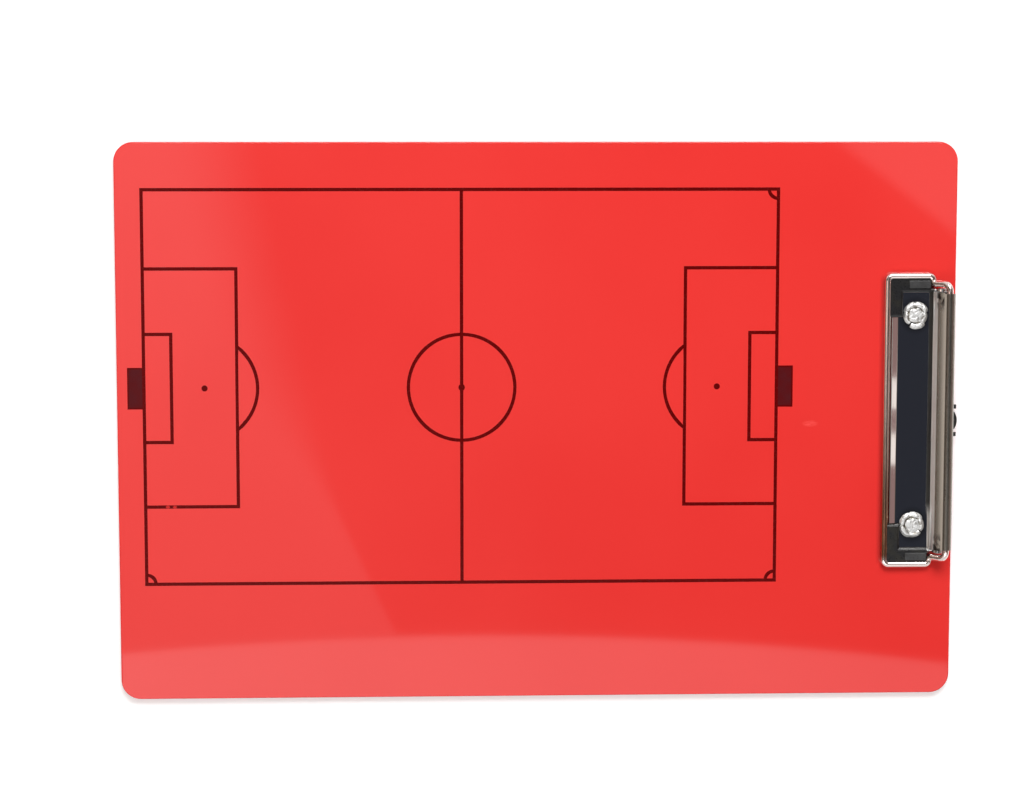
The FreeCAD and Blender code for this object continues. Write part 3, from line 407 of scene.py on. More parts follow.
def goal_ink(look):
    """Thinner ink of the filled goal blocks inside a border of full ink."""
    cloud_scale, cloud_share, border_start, border_end = 260.0, 0.35, -1.4, -0.6
    material, recipe = new_material("goal_ink")
    place = recipe.place()
    x, y, _ = recipe.parts(place)
    middle, half = (GOALS_LOW + GOALS_HIGH) / 2, (GOALS_HIGH - GOALS_LOW) / 2
    past_edge = recipe.most(recipe.maths("SUBTRACT", recipe.off(x, middle.x), half.x),
                            recipe.maths("SUBTRACT", recipe.off(y, middle.y), half.y))
    edge = recipe.ease(past_edge, look.goal_border * border_start, look.goal_border * border_end)
    clouds = recipe.patches(place, cloud_scale, EVEN_RAMP, 0.0, cloud_share)
    fill = recipe.mix(clouds, look.ink_fill, look.ink)
    recipe.surface({"Base Color": recipe.mix(edge, fill, look.ink), "Roughness": 0.2,
                    "Specular IOR Level": look.ink_shine})
    return material


def rubbed_lines(recipe, rough, grain):
    """Roughness and height of faint rubbed lines along the clip."""
    stretch, patch_scale, rub_ramp = 60.0, 90.0, (0.12, 0.42)
    lines = recipe.noise(recipe.place((grain, grain / stretch, grain)), 1.0, FINE_DETAIL)
    rubs = recipe.times(lines, recipe.noise(recipe.place(), patch_scale))
    return recipe.ease(rubs, *rub_ramp, *rough), lines


def drawn_steel(name, look):
    """Plated pin or spring steel, rubbed along the clip."""
    material, recipe = new_material(name)
    rough, lines = rubbed_lines(recipe, STEEL_ROUGH, SHEET_GRAIN)
    recipe.metal((*look.steel, 1.0), rough, recipe.bump(lines, LINE_DEPTH))
    return material


def plate_chrome(look):
    """Mirror-bright sheet, darkened by painted shade round the rivets and in the corner before the lever,
    which is also duller.
    """
    ring_reach, corner_front, corner_back, corner_blur = (0.0078, 0.0085), 0.0046, 0.0030, 0.0003
    corner_low, corner_fade, corner_rough = -0.034, 0.008, 0.3
    material, recipe = new_material("plate_chrome")
    x, y, _ = recipe.parts(recipe.place())
    # Painted shade: a darker ring round each rivet
    ring = recipe.oval(x, recipe.maths("ABSOLUTE", y), RIVET_MIDDLE, ring_reach)
    # Painted shade: the plate's corner before the lever is darkened
    corner = recipe.times(recipe.within(x, HINGE.x - corner_front, HINGE.x - corner_back, corner_blur),
                          recipe.within(y, corner_low, LEVER_HIGH.y, corner_fade))
    rough, lines = rubbed_lines(recipe, PLATE_ROUGH, SHEET_GRAIN)
    tone = recipe.mix(corner, recipe.mix(ring, look.chrome, look.shade_and_grime), look.deep_stain_and_shade)
    recipe.metal(tone, recipe.raised(rough, corner, corner_rough), recipe.bump(lines, LINE_DEPTH))
    return material


def lever_chrome(look):
    """Bright sheet with painted shade along its crease, dull below it, stained at its ends, and rougher on
    its curl, which painted shade darkens.
    """
    line_low, line_high, line_blur, inside_end, outside_start = -0.0001, 0.0002, 0.0003, 0.0006, 0.0002
    stain_low, stain_high, stain_blur, stain_start, stain_full = -0.0003, 0.0026, 0.0008, 0.0085, 0.003
    blot_scale, blot_ramp, curl_shade_ramp = 330.0, (0.36, 0.52), (0.0, 0.3)
    curl_start, curl_full, dull_full = 0.0002, 0.0003, -0.0004
    worn_rough, dull_rough, stain_rough = 0.14, 0.3, 0.15
    material, recipe = new_material("lever_chrome")
    place = recipe.place()
    x, y, z = recipe.parts(place)
    crease, slope_end = (HINGE.xz + Vector(spot) for spot in (LEVER_CREASE, LEVER_SLOPE_END))
    slope = slope_end - crease
    way = slope.normalized()
    up_slope = recipe.maths("MULTIPLY_ADD", x, way.x, recipe.curve(z, way.y, -crease.dot(way)))
    crown = recipe.curve(recipe.held(up_slope, slope.length), -0.5 / LEVER_CROWN, 0.0, 0.0)
    outside = recipe.ease(z, crease.y - inside_end, crease.y - outside_start)
    # Painted shade: a dark line along the lever's crease
    line = recipe.times(recipe.within(up_slope, line_low, line_high, line_blur), outside)
    ends = recipe.ease(recipe.maths("ABSOLUTE", y), LEVER_HIGH.y - stain_start, LEVER_HIGH.y - stain_full)
    blots = recipe.patches(place, blot_scale, blot_ramp, detail=FINE_DETAIL)
    stains = recipe.times(recipe.within(up_slope, stain_low, stain_high, stain_blur), ends, blots)
    curl = recipe.ease(up_slope, slope.length - curl_start, slope.length + curl_full)
    # Painted shade: the curl's top and its outer side are darkened
    curl_tone = recipe.mix(recipe.ease(recipe.facing()["X"], *curl_shade_ramp), look.curl_painted_shade, look.shade_and_grime)
    tone = recipe.mix(curl, recipe.mix(line, look.chrome, look.shade_and_grime), curl_tone)
    rough, lines = rubbed_lines(recipe, LEVER_ROUGH, SHEET_GRAIN)
    below = recipe.ease(up_slope, 0.0, dull_full)
    for mask, gain in ((recipe.most(curl, line), worn_rough), (below, dull_rough), (stains, stain_rough)):
        rough = recipe.raised(rough, mask, gain)
    recipe.metal(recipe.mix(stains, tone, look.deep_stain_and_shade), rough,
                 recipe.bump(lines, LINE_DEPTH, recipe.bump(crown, 1.0)))
    return material


def wire_chrome(look):
    """Plated wire, with a painted darker, browner reflection along the lower half of the run that grips the
    paper.
    """
    run_end, run_full, dim_start, dim_full = 0.0045, 0.0035, 0.024, -0.050
    bend_end, bend_start = 0.003, 0.0055
    material, recipe = new_material("wire_chrome")
    x, y, _ = recipe.parts(recipe.place())
    # Painted reflection: the lower half of the front run gets a darker, browner tone
    dimmed = recipe.times(recipe.ease(x, BOW_LOW.x + run_end, BOW_LOW.x + run_full),
                             recipe.ease(y, dim_start, dim_full),
                             recipe.ease(y, BOW_LOW.y + bend_end, BOW_LOW.y + bend_start))
    rough, lines = rubbed_lines(recipe, WIRE_ROUGH, WIRE_GRAIN)
    recipe.metal(recipe.mix(dimmed, look.wire, look.wire_painted_dim), rough, recipe.bump(lines, LINE_DEPTH))
    return material


def rivet_steel(look):
    """Bright plate, dented by the clinching tool, and darker in places of the groove round the disc."""
    groove_in, groove_out, groove_blur = 0.0003, 0.0005, 0.0004
    dent_scale, dent_depth, groove_dark_ramp, rough_low, rough_high = 620.0, 0.0006, (0.56, 0.42), 0.36, 0.52
    material, recipe = new_material("rivet_steel")
    x, y, _ = recipe.parts(recipe.place())
    along = recipe.maths("SUBTRACT", x, RIVET_MIDDLE.x)
    across = recipe.maths("SUBTRACT", recipe.maths("ABSOLUTE", y), RIVET_MIDDLE.y)
    off = recipe.length(recipe.joined(along, across, 0.0))
    groove = recipe.within(off, look.disc_radius - groove_in, look.disc_radius + groove_out, groove_blur)
    dents = recipe.noise(recipe.place(), dent_scale)
    groove_dark = recipe.times(groove, recipe.ease(dents, *groove_dark_ramp))
    recipe.metal(recipe.mix(groove_dark, look.rivet, look.shade_and_grime),
                 recipe.ease(dents, *EVEN_RAMP, rough_low, rough_high), recipe.bump(dents, dent_depth))
    return material


def black_plastic(name, look, rough):
    """Fine-grained black plastic with dusty smears, and raised panels made paler in patches, as painted
    sheen and wear.
    """
    panel_start, panel_full, smear_scale, dust_ramp = 0.0003, 0.0001, 210.0, (0.42, 0.68)
    worn_sheen_ramp, worn_sheen_least = (0.35, 0.62), 0.65
    grain_scale, grain_depth, grain_rough = 2600.0, 0.00001, 0.06
    material, recipe = new_material(name)
    place = recipe.place()
    grain = recipe.noise(place, grain_scale)
    raised = recipe.ease(recipe.parts(place)["Z"], PAD_HIGH.z - panel_start, PAD_HIGH.z - panel_full)
    smears = recipe.noise(place, smear_scale, FINE_DETAIL)
    body = recipe.mix(recipe.ease(smears, *dust_ramp), look.black, look.black_dusty)
    # Painted sheen and wear: paler raised panels, in patches
    worn = recipe.times(raised, recipe.ease(smears, *worn_sheen_ramp, worn_sheen_least, 1.0))
    recipe.surface({"Base Color": recipe.mix(worn, body, look.black_worn_sheen),
                    "Roughness": recipe.ease(grain, *EVEN_RAMP, rough - grain_rough, rough + grain_rough),
                    "Normal": recipe.bump(grain, grain_depth)})
    return material


# Pieces made here

# Height of the lines over the goal blocks
INK_LIFT = 0.000005

# How far chance moves each rivet lip, how much longer the lips along Y are, and the seed
LIP_LOOSENESS, LIP_STRETCH, LIP_SEED = 0.13, 0.09, 5


def new_object(name, mesh):
    made = bpy.data.objects.new(name, mesh)
    bpy.context.scene.collection.objects.link(made)
    return made


def new_tree(name, inputs):
    """A geometry tree with the inputs listed by their kind, its recipe and its inputs' outlets."""
    tree = bpy.data.node_groups.new(name, "GeometryNodeTree")
    for kind, labels in inputs.items():
        for label in labels:
            tree.interface.new_socket(label, in_out="INPUT", socket_type=f"NodeSocket{kind}")
    tree.interface.new_socket("Geometry", in_out="OUTPUT", socket_type="NodeSocketGeometry")
    recipe = Recipe(tree)
    return tree, recipe, recipe.add("NodeGroupInput").outputs


def shape_of(recipe, piece):
    return recipe.add("GeometryNodeObjectInfo", {"Object": piece}).outputs["Geometry"]


def end_tree(recipe, geometry, material):
    solid = recipe.add("GeometryNodeRealizeInstances", {"Geometry": geometry}).outputs[0]
    painted = recipe.add("GeometryNodeSetMaterial", {"Geometry": solid, "Material": material}).outputs[0]
    recipe.add("NodeGroupOutput", {"Geometry": painted})


def grow(name, tree, values):
    """A plain mesh object made by a geometry tree with these values for its inputs."""
    seed = bpy.data.meshes.new(f"{name}_seed")
    made = new_object(name, seed)
    modifier = made.modifiers.new("shape", "NODES")
    modifier.node_group = tree
    for item in tree.interface.items_tree:
        if item.in_out == "INPUT":
            modifier[item.identifier] = values[item.name]
    ready = made.evaluated_get(bpy.context.evaluated_depsgraph_get())
    mesh = bpy.data.meshes.new_from_object(ready)
    if not mesh.polygons:
        raise RuntimeError(f"{name} came out empty")
    made.modifiers.remove(modifier)
    made.data = mesh
    bpy.data.meshes.remove(seed)
    return made


def solid_mesh(name, points, faces, sharp):
    """A closed mesh with smooth shading up to the sharp angle in degrees."""
    shape = bmesh.new()
    spots = [shape.verts.new(point) for point in points]
    for face in faces:
        shape.faces.new([spots[number] for number in face])
    bmesh.ops.recalc_face_normals(shape, faces=shape.faces)
    mesh = bpy.data.meshes.new(name)
    shape.to_mesh(mesh)
    shape.free()
    mesh.shade_smooth()
    mesh.set_sharp_from_angle(angle=math.radians(sharp))
    return mesh


def petal_mesh(look):
    """One lip of a clinched rivet: a rolled sector that is low and drawn in at its sides."""
    rings, spokes, lip_sharp, disc_gap, overlap = 9, 8, 50.0, 0.00012, 1.03
    crest_share, root_share, lip_share, roll_power = 0.38, 0.78, 0.07, 0.8
    notch_share, notch_power, dip_share, dip_power = 0.07, 4, 0.26, 3
    outer = (RIVET_HIGH.x - RIVET_LOW.x) / 2
    inner = look.disc_radius + disc_gap
    half_angle = math.pi / look.petals * overlap
    top, under = [], []
    for ring in range(rings + 1):
        out = ring / rings
        if out < crest_share:
            level = root_share + (1.0 - root_share) * math.sin(math.pi / 2 * out / crest_share)
        else:
            fall = math.cos(math.pi / 2 * (out - crest_share) / (1.0 - crest_share))
            level = max(fall ** roll_power, lip_share)
        for spoke in range(spokes + 1):
            side = 2.0 * spoke / spokes - 1.0
            reach = outer * (1.0 - notch_share * abs(side) ** notch_power)
            radius = inner + (reach - inner) * out
            turn = half_angle * side
            x, y = radius * math.cos(turn), radius * math.sin(turn)
            top.append((x, y, look.petal_crest * level * (1.0 - dip_share * abs(side) ** dip_power)))
            under.append((x, y, 0.0))
    row = spokes + 1
    faces = []
    for ring in range(rings):
        for spoke in range(spokes):
            first = ring * row + spoke
            quad = (first, first + row, first + row + 1, first + 1)
            faces += [quad, tuple(number + len(top) for number in quad)]
    rim = ([spoke for spoke in range(row)] + [ring * row + spokes for ring in range(1, rings + 1)]
           + [rings * row + spoke for spoke in range(spokes - 1, -1, -1)]
           + [ring * row for ring in range(rings - 1, 0, -1)])
    for here, there in zip(rim, rim[1:] + rim[:1]):
        faces.append((here, there, there + len(top), here + len(top)))
    return solid_mesh("rivet_petal", top + under, faces, lip_sharp)


def core_mesh(look, seat):
    """Flat back head, shank and low, slightly dented centre disc of a rivet."""
    segments, disc_sharp, bevel_share, dent_share, dent_turn = 40, 40.0, 0.2, 0.05, 0.7
    # Shares of the disc's radius and of the lips' crest, from its rim inwards
    disc = ((1.0, 0.64), (0.97, 0.80), (0.86, 0.88), (0.55, 0.93), (0.25, 0.86))
    crest = look.petal_crest
    bevel = look.back_head_thick * bevel_share
    profile = [
        (look.back_head - bevel, 0.0), (look.back_head, bevel), (look.back_head, look.back_head_thick),
        (look.shank_radius, look.back_head_thick), (look.shank_radius, seat)]
    profile += [(look.disc_radius * out, seat + crest * up) for out, up in disc]
    points = []
    for radius, height in profile:
        for number in range(segments):
            turn = 2.0 * math.pi * number / segments
            dent = crest * dent_share * math.sin(2.0 * turn + dent_turn) if height > seat else 0.0
            points.append((radius * math.cos(turn), radius * math.sin(turn), height + dent))
    faces = [tuple(range(segments)), tuple(range(len(points) - segments, len(points)))]
    for ring in range(len(profile) - 1):
        for number in range(segments):
            here, there = ring * segments + number, ring * segments + (number + 1) % segments
            faces.append((here, there, there + segments, here + segments))
    return solid_mesh("rivet_core", points, faces, disc_sharp)


def rivet_tree():
    """Rolled petals round each of two cores, every petal turned and scaled a little by chance."""
    flattening = 2.5
    tree, recipe, given = new_tree("clinched_rivets", {
        "Object": ("Petal", "Core"), "Int": ("Petals", "Seed"), "Material": ("Material",),
        "Float": ("Along", "Half Spacing", "Seat", "Looseness", "Stretch")})
    index = recipe.add("GeometryNodeInputIndex").outputs[0]
    step = recipe.maths("DIVIDE", 2.0 * math.pi, given["Petals"])

    def chance(low, high, seed_shift):
        sockets = {2: low, 3: high, "Seed": recipe.maths("ADD", given["Seed"], seed_shift)}
        value = recipe.add("FunctionNodeRandomValue", sockets, data_type="FLOAT").outputs[1]
        return recipe.times(value, given["Looseness"])

    def on_spots(count, number, height, piece, turn, scale):
        side = recipe.times(given["Half Spacing"], recipe.curve(number, 2.0, -1.0))
        spots = recipe.add("GeometryNodePoints", {
            "Count": count, "Position": recipe.joined(given["Along"], side, height)}).outputs[0]
        return recipe.add("GeometryNodeInstanceOnPoints", {
            "Points": spots, "Instance": shape_of(recipe, piece), "Scale": scale,
            "Rotation": recipe.joined(0.0, 0.0, turn)}).outputs[0]

    rivet = recipe.maths("FLOOR", recipe.maths("DIVIDE", index, given["Petals"]))
    turn = recipe.maths("ADD", recipe.maths("MULTIPLY_ADD", index, step, rivet), chance(-1.0, 1.0, 1.0))
    sideways = recipe.maths("ABSOLUTE", recipe.maths("SINE", turn))
    reach = recipe.maths("SUBTRACT", recipe.raised(1.0, sideways, given["Stretch"]), chance(0.0, 1.0, 2.0))
    height = recipe.maths("SUBTRACT", 1.0, chance(0.0, flattening, 3.0))
    petals = on_spots(recipe.times(given["Petals"], 2.0), rivet, given["Seat"], given["Petal"], turn,
                      recipe.joined(reach, reach, height))
    cores = on_spots(2, index, 0.0, given["Core"], index, (1.0, 1.0, 1.0))
    both = recipe.add("GeometryNodeJoinGeometry")
    for part in (petals, cores):
        recipe.tree.links.new(part, both.inputs[0])
    end_tree(recipe, both.outputs[0], given["Material"])
    return tree


def ink_tree():
    """The printed lines with their edges let out sideways, and lifted a hair over the goal blocks."""
    weld = 0.000001
    tree, recipe, given = new_tree("run_ink", {
        "Object": ("Lines",), "Float": ("Spread", "Lift"), "Material": ("Material",)})
    printed = recipe.add("GeometryNodeMergeByDistance", {
        "Geometry": shape_of(recipe, given["Lines"]), "Distance": weld}).outputs[0]
    facing = recipe.parts(recipe.add("GeometryNodeInputNormal").outputs[0])
    widest = recipe.most(*(recipe.maths("ABSOLUTE", facing[axis]) for axis in "XY"))
    reach = recipe.maths("DIVIDE", given["Spread"], widest)
    lift = recipe.times(given["Lift"], recipe.maths("GREATER_THAN", facing["Z"], 0.0))
    step = recipe.joined(*(recipe.times(facing[axis], reach) for axis in "XY"), lift)
    printed = recipe.add("GeometryNodeSetPosition", {"Geometry": printed, "Offset": step}).outputs[0]
    end_tree(recipe, printed, given["Material"])
    return tree


def spring_tree():
    """A round wire wound about the pin, whose two legs run on straight where the coil ends."""
    path_points, wire_sides = 260, 14
    tree, recipe, given = new_tree("torsion_spring", {
        "Float": ("Side", "Wire", "Radius", "Pitch", "Place", "Start", "End", "Plate Leg", "Lever Leg"),
        "Vector": ("Hinge",), "Material": ("Material",)})
    radius = given["Radius"]
    rise = recipe.maths("DIVIDE", given["Pitch"], 2.0 * math.pi)
    squares = recipe.maths("MULTIPLY_ADD", rise, rise, recipe.times(radius, radius))
    run_per_turn = recipe.maths("SQRT", squares)
    coil = recipe.times(run_per_turn, recipe.maths("SUBTRACT", given["End"], given["Start"]))
    legs = recipe.maths("ADD", given["Plate Leg"], given["Lever Leg"])
    share_along = recipe.add("GeometryNodeSplineParameter").outputs["Factor"]
    run = recipe.maths("SUBTRACT", recipe.times(share_along, recipe.maths("ADD", coil, legs)),
                       given["Plate Leg"])
    on_coil = recipe.held(run, coil)
    turn = recipe.maths("ADD", given["Start"], recipe.maths("DIVIDE", on_coil, run_per_turn))
    on_leg = recipe.maths("SUBTRACT", run, on_coil)
    leg_reach = recipe.times(on_leg, recipe.maths("DIVIDE", radius, run_per_turn))
    cosine, sine = recipe.maths("COSINE", turn), recipe.maths("SINE", turn)
    x = recipe.maths("SUBTRACT", recipe.times(radius, cosine), recipe.times(leg_reach, sine))
    z = recipe.maths("MULTIPLY_ADD", radius, sine, recipe.times(leg_reach, cosine))
    climb = recipe.times(run, recipe.maths("DIVIDE", rise, run_per_turn))
    y = recipe.times(given["Side"], recipe.maths("ADD", given["Place"], climb))
    spot = recipe.add("ShaderNodeVectorMath", {0: given["Hinge"], 1: recipe.joined(x, y, z)}).outputs[0]
    line = recipe.add("GeometryNodeCurvePrimitiveLine").outputs[0]
    line = recipe.add("GeometryNodeResampleCurve", {"Curve": line, "Count": path_points}).outputs[0]
    line = recipe.add("GeometryNodeSetPosition", {"Geometry": line, "Position": spot}).outputs[0]
    ring = recipe.add("GeometryNodeCurvePrimitiveCircle", {
        "Resolution": wire_sides, "Radius": recipe.times(given["Wire"], 0.5)}).outputs[0]
    wire = recipe.add("GeometryNodeCurveToMesh", {
        "Curve": line, "Profile Curve": ring, "Fill Caps": True}).outputs[0]
    end_tree(recipe, wire, given["Material"])
    return tree


class TACTICS_OT_panel(bpy.types.Operator):
    """Gives the panel its glossy red plastic"""

    bl_idname = "tactics.panel"
    bl_label = "Panel"

    def execute(self, context):
        dress("board_panel", red_plastic(context.scene.board_look))
        return {"FINISHED"}


class TACTICS_OT_print(bpy.types.Operator):
    """Prints the pitch, with lines that have run a little"""

    bl_idname = "tactics.print"
    bl_label = "Printed Pitch"

    def execute(self, context):
        look = context.scene.board_look
        ink = print_ink(look)
        dress("penalty_spots", ink)
        dress("goal_blocks", goal_ink(look))
        lines = grow("printed_lines", ink_tree(), {
            "Lines": nodes["pitch_lines"], "Spread": look.ink_spread, "Lift": INK_LIFT, "Material": ink})
        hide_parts("pitch_lines")
        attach(lines, "board")
        return {"FINISHED"}


class TACTICS_OT_clip(bpy.types.Operator):
    """Plates the base plate, the lever, the bow and the pin"""

    bl_idname = "tactics.clip"
    bl_label = "Clip Metal"

    def execute(self, context):
        look = context.scene.clip_look
        dress("base_plate", plate_chrome(look))
        dress("press_lever", lever_chrome(look))
        dress("jaw_bow", wire_chrome(look))
        dress("hinge_pin", drawn_steel("pin_steel", look))
        return {"FINISHED"}


class TACTICS_OT_rivets(bpy.types.Operator):
    """Clinches the two rivets"""

    bl_idname = "tactics.rivets"
    bl_label = "Rivets"

    def execute(self, context):
        look = context.scene.clip_look
        seat = RIVET_HIGH.z - look.petal_crest
        petal = new_object("rivet_petal", petal_mesh(look))
        core = new_object("rivet_core", core_mesh(look, seat))
        piece = grow("clinched_rivets", rivet_tree(), {
            "Petal": petal, "Core": core, "Petals": look.petals, "Along": RIVET_MIDDLE.x,
            "Half Spacing": RIVET_MIDDLE.y, "Seat": seat, "Looseness": LIP_LOOSENESS,
            "Stretch": LIP_STRETCH, "Seed": LIP_SEED, "Material": rivet_steel(look)})
        for helper in (petal, core):
            bpy.data.objects.remove(helper)
        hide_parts("rivet_upper", "rivet_lower")
        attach(piece, "board")
        return {"FINISHED"}


class TACTICS_OT_springs(bpy.types.Operator):
    """Winds the two torsion springs about the hinge pin"""

    bl_idname = "tactics.springs"
    bl_label = "Springs"

    def execute(self, context):
        look = context.scene.clip_look
        tree = spring_tree()
        steel = drawn_steel("spring_steel", look)
        for name, side in (("torsion_spring_upper", 1.0), ("torsion_spring_lower", -1.0)):
            piece = grow(f"{name}_wire", tree, {
                "Side": side, "Wire": look.spring_wire, "Radius": look.spring_radius,
                "Pitch": look.spring_pitch, "Place": look.spring_place, "Start": look.spring_start,
                "End": look.spring_end, "Plate Leg": look.plate_leg, "Lever Leg": look.lever_leg,
                "Hinge": HINGE, "Material": steel})
            piece.data.shade_smooth()
            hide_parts(name)
            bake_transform(piece)
        return {"FINISHED"}


class TACTICS_OT_pads(bpy.types.Operator):
    """Gives the pads and the hanging tab their black plastic"""

    bl_idname = "tactics.pads"
    bl_label = "Pads and Tab"

    def execute(self, context):
        look = context.scene.clip_look
        pads = black_plastic("pad_plastic", look, PAD_ROUGH)
        for name in ("corner_pad_upper", "corner_pad_lower"):
            dress(name, pads)
        dress("hanging_tab", black_plastic("tab_plastic", look, TAB_ROUGH))
        return {"FINISHED"}


# Studio

# Where the camera stands, its turns in degrees, and its focal length in pixels of the photograph
CAMERA_PLACE = Vector((-0.0550, 0.1331, 1.0938))
CAMERA_TURNS = (-6.38, -2.346, 0.018)
FOCAL_PIXELS, PHOTO_WIDTH = 2669.0, 1026.0

# The lamp's place, the spot that it points at, and its width and depth
LAMP_PLACE, LAMP_TARGET, LAMP_SIZE = Vector((0.15, 1.15, 1.25)), Vector((0.05, 0.0, 0.0)), (1.0, 0.7)

# How far the cards stand and reach from the middle
CARD_REACH = 1.5

# Light that the glossy panel mirrors: the ceiling card's bowed front edge and its brightness as curves
# of x, its left edge as a curve of y, and its far corner as a line
FRONT_EDGE, FRONT_GLOW = (-0.125, 0.0, -0.435), (-0.8, 1.72)
LEFT_EDGE, CORNER_SLOPE, CORNER_START = (0.314, -0.227, -0.221), 0.77, 0.395

# Two places along Y between which the left edge sharpens, from the first blur to the second
LEFT_BLUR = (-0.10, -0.34, 0.07, 0.004)

# Places between which the left side brightens along Y, and the middle along X
LEFT_RUN, MIDDLE_RUN = (-0.36, 0.08), (0.40, -0.20)

# Two ends of the far left patch along Y, and their blur
FAR_LEFT_ENDS = (-0.14, -0.02, 0.13)

# Two bright strips of the right card, along Y
WINDOWS = ((-0.2285, -0.1939), (-0.1730, -0.1392))

# Heights between which a side card turns pale, and those between which it turns dark again
LEFT_BAND, RIGHT_BAND = (0.15, 0.65, 0.66, 0.95), (-0.2, -0.1, 0.3, 1.7)


def seen_share(recipe):
    """1 for rays that show the room: straight from the camera, mirrored or through glass."""
    path = recipe.add("ShaderNodeLightPath").outputs
    return recipe.most(path["Is Camera Ray"], path["Is Glossy Ray"], path["Is Transmission Ray"])


def room_light(recipe, look):
    """Strength of the light from all round: full where it is seen, less where it only lights."""
    return recipe.ease(seen_share(recipe), 0.0, 1.0, look.ambient, 1.0)


def floor_paint(look):
    """Pale paint whose own light, as seen and mirrored, grows to white away from the board."""
    glow_start, glow_full = 0.6, 1.4
    material, recipe = new_material("floor_paint")
    paint = recipe.add("ShaderNodeBsdfDiffuse", {"Color": (*[look.floor_white] * 3, 1.0)})
    away = recipe.ease(recipe.length(recipe.place()), glow_start, glow_full, look.floor_glow, 1.0)
    glow = recipe.add("ShaderNodeEmission", {"Strength": recipe.times(seen_share(recipe), away)})
    both = recipe.add("ShaderNodeAddShader", {0: paint.outputs[0], 1: glow.outputs[0]})
    recipe.add("ShaderNodeOutputMaterial", {"Surface": both.outputs[0]})
    return material


def glow_output(recipe, tone):
    light = recipe.add("ShaderNodeEmission", {"Color": tone})
    recipe.add("ShaderNodeOutputMaterial", {"Surface": light.outputs[0]})


def far_left_patch(recipe, y, tone, look, share):
    """A tone with the pale patch of the room's far left laid over it."""
    patch = [channel * look.patch_power for channel in look.far_left]
    return recipe.mix(recipe.times(share, recipe.within(y, *FAR_LEFT_ENDS)), tone, patch)


def mirrored_x(x, height):
    """Where the camera sees this height mirrored in the panel's face."""
    return x + (x - CAMERA_PLACE.x) * (height - PANEL_HIGH.z) / (CAMERA_PLACE.z - PANEL_HIGH.z)


def ceiling_glow(look):
    """Dark middle, a bright front with a slightly bowed edge, a softer left side and a pale far corner."""
    front_blur, corner_blur, panel_blur, patch_start, patch_full = 0.004, 0.01, 0.04, 0.25, 0.6
    material, recipe = new_material("ceiling_glow")
    x, y, _ = recipe.parts(recipe.place())
    past_front = recipe.maths("SUBTRACT", y, recipe.curve(x, *FRONT_EDGE))
    front = recipe.times(recipe.ease(past_front, front_blur, -front_blur), recipe.curve(x, *FRONT_GLOW))
    past_left = recipe.maths("SUBTRACT", x, recipe.curve(y, *LEFT_EDGE))
    left_blur = recipe.ease(y, *LEFT_BLUR)
    left_glow = recipe.ease(y, *LEFT_RUN, look.left_glow, look.left_far_glow)
    left = recipe.ease(past_left, left_blur, recipe.times(left_blur, -1.0), 0.0, left_glow)
    past_corner = recipe.maths("MULTIPLY_ADD", x, CORNER_SLOPE, y)
    corner = recipe.ease(past_corner, CORNER_START - corner_blur, CORNER_START + corner_blur,
                         0.0, look.corner_glow)
    middle = recipe.ease(x, *MIDDLE_RUN, 0.0, look.middle_glow)
    start, end = (mirrored_x(edge, look.ceiling_height) for edge in (PANEL_LOW.x, PANEL_HIGH.x))
    inside = recipe.within(x, start, end, panel_blur)
    strength = recipe.most(front, recipe.times(recipe.most(middle, left, corner), inside))
    base = recipe.mix(inside, look.ceiling_far, look.ceiling_dark)
    beyond = recipe.ease(x, start - patch_start, start - patch_full)
    base = far_left_patch(recipe, y, base, look, beyond)
    lit = recipe.joined(strength, strength, strength)
    glow_output(recipe, recipe.add("ShaderNodeVectorMath", {0: base, 1: lit}).outputs[0])
    return material


def wall_glow(name, look, low_tone, high_tone, band, windows=()):
    """A side card with a pale band and perhaps bright strips, which melts into the room at both ends."""
    strip_core, patch_low, patch_high, melt_start = 0.8, 1.2, 1.45, CARD_REACH * 0.35
    material, recipe = new_material(name)
    _, y, z = recipe.parts(recipe.place())
    shade = recipe.most(recipe.ease(z, band[1], band[0]), recipe.ease(z, band[2], band[3]))
    tone = recipe.mix(shade, low_tone, high_tone)
    for low, high in windows:
        half = (high - low) / 2
        strip = recipe.ease(recipe.off(y, (low + high) / 2), half, half * strip_core)
        tone = recipe.mix(strip, tone, look.window)
    if not windows:
        tone = far_left_patch(recipe, y, tone, look, recipe.ease(z, patch_low, patch_high))
    ends = recipe.ease(recipe.maths("ABSOLUTE", y), melt_start, CARD_REACH)
    room = room_light(recipe, look)
    glow_output(recipe, recipe.mix(ends, tone, recipe.joined(room, room, room)))
    return material


def card(name, corners, material):
    """A flat studio card that lights and mirrors, but that the camera looks through."""
    mesh = bpy.data.meshes.new(name)
    mesh.from_pydata(corners, [], [range(len(corners))])
    mesh.materials.append(material)
    made = new_object(name, mesh)
    made.visible_camera = False


def lay_floor(look):
    """A wide pale floor, open under the panel so that the back can be seen from below."""
    reach, tuck, drop = 4.0, 0.004, -0.0002
    inner = [(x, y) for y in (PANEL_LOW.y + tuck, PANEL_HIGH.y - tuck)
             for x in (PANEL_LOW.x + tuck, PANEL_HIGH.x - tuck)]
    outer = [(x, y) for y in (-reach, reach) for x in (-reach, reach)]
    points = [(x, y, drop) for x, y in inner + outer]
    mesh = bpy.data.meshes.new("floor")
    mesh.from_pydata(points, [], [(4, 5, 1, 0), (5, 7, 3, 1), (7, 6, 2, 3), (6, 4, 0, 2)])
    mesh.materials.append(floor_paint(look))
    new_object("floor", mesh)


def light_room(look):
    """A white room that lights the board only softly."""
    world = bpy.data.worlds.new("room")
    world.use_nodes = True
    bpy.context.scene.world = world
    recipe = Recipe(world.node_tree)
    light = recipe.add("ShaderNodeBackground", {"Strength": room_light(recipe, look)})
    recipe.add("ShaderNodeOutputWorld", {"Surface": light.outputs[0]})


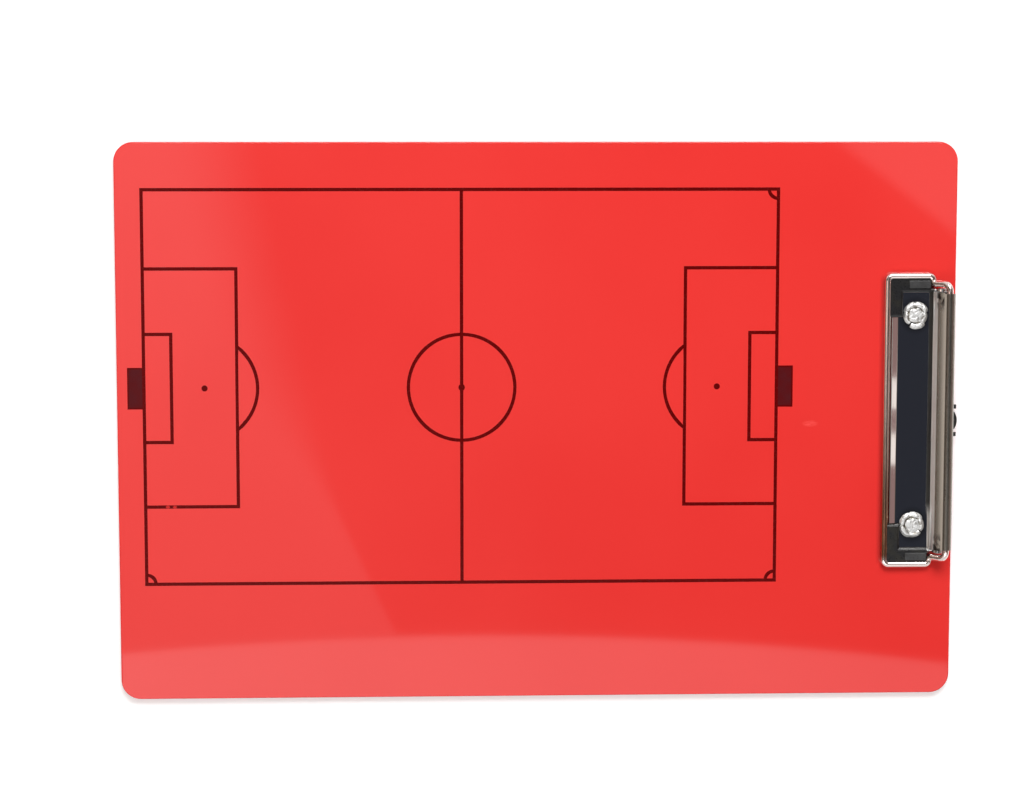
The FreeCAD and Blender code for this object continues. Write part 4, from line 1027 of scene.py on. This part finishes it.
def hang_lamp(look):
    lamp = bpy.data.lights.new("key_lamp", "AREA")
    lamp.shape = "RECTANGLE"
    lamp.size, lamp.size_y = LAMP_SIZE
    lamp.energy = look.key_power
    made = new_object("key_lamp", lamp)
    made.location = LAMP_PLACE
    made.rotation_euler = (LAMP_TARGET - LAMP_PLACE).to_track_quat("-Z", "Y").to_euler()


def set_camera():
    """Stands where the photograph was taken from."""
    view = bpy.data.cameras.new("camera")
    view.sensor_fit = "HORIZONTAL"
    view.sensor_width = 36.0
    view.lens = FOCAL_PIXELS * view.sensor_width / PHOTO_WIDTH
    made = new_object("camera", view)
    made.location = CAMERA_PLACE
    made.rotation_euler = Euler([math.radians(turn) for turn in CAMERA_TURNS])
    bpy.context.scene.camera = made


class TACTICS_OT_stage(bpy.types.Operator):
    """Lays the floor, hangs the cards and the lamp and sets the camera"""

    bl_idname = "tactics.stage"
    bl_label = "Studio"

    def execute(self, context):
        look = context.scene.stage_look
        lay_floor(look)
        light_room(look)
        high = look.ceiling_height
        reach = CARD_REACH
        card("ceiling_card", [(-reach, -reach, high), (reach, -reach, high), (reach, reach, high),
                              (-reach, reach, high)], ceiling_glow(look))
        for name, x, low_tone, high_tone, band, windows in (
                ("right_card", reach, look.right_low, look.right_high, RIGHT_BAND, WINDOWS),
                ("left_card", -reach, look.left_low, look.left_high, LEFT_BAND, ())):
            corners = [(x, -reach, 0.0), (x, reach, 0.0), (x, reach, high), (x, -reach, high)]
            card(name, corners, wall_glow(f"{name}_glow", look, low_tone, high_tone, band, windows))
        hang_lamp(look)
        set_camera()
        context.scene.view_settings.view_transform = "Standard"
        return {"FINISHED"}


OPERATORS = (TACTICS_OT_panel, TACTICS_OT_print, TACTICS_OT_clip, TACTICS_OT_rivets, TACTICS_OT_springs,
             TACTICS_OT_pads, TACTICS_OT_stage)


class TACTICS_PT_parts(bpy.types.Panel):
    """Lists the pieces and their settings"""

    bl_idname = "TACTICS_PT_parts"
    bl_label = "Tactics Board"
    bl_space_type = "VIEW_3D"
    bl_region_type = "UI"
    bl_category = "Tactics Board"

    def draw(self, context):
        layout = self.layout
        for operator in OPERATORS:
            layout.operator(operator.bl_idname)
        for name, look in LOOKS.items():
            box = layout.box()
            for key in look.__annotations__:
                box.prop(getattr(context.scene, name), key)


CLASSES = (*LOOKS.values(), *OPERATORS, TACTICS_PT_parts)


def register():
    for cls in CLASSES:
        bpy.utils.register_class(cls)
    for name, look in LOOKS.items():
        setattr(bpy.types.Scene, name, PointerProperty(type=look))


def unregister():
    for name in LOOKS:
        delattr(bpy.types.Scene, name)
    for cls in reversed(CLASSES):
        bpy.utils.unregister_class(cls)


def main():
    register()
    bpy.ops.tactics.panel()
    bpy.ops.tactics.print()
    bpy.ops.tactics.clip()
    bpy.ops.tactics.rivets()
    bpy.ops.tactics.springs()
    bpy.ops.tactics.pads()
    bpy.ops.tactics.stage()


if __name__ == "__main__":
    main()
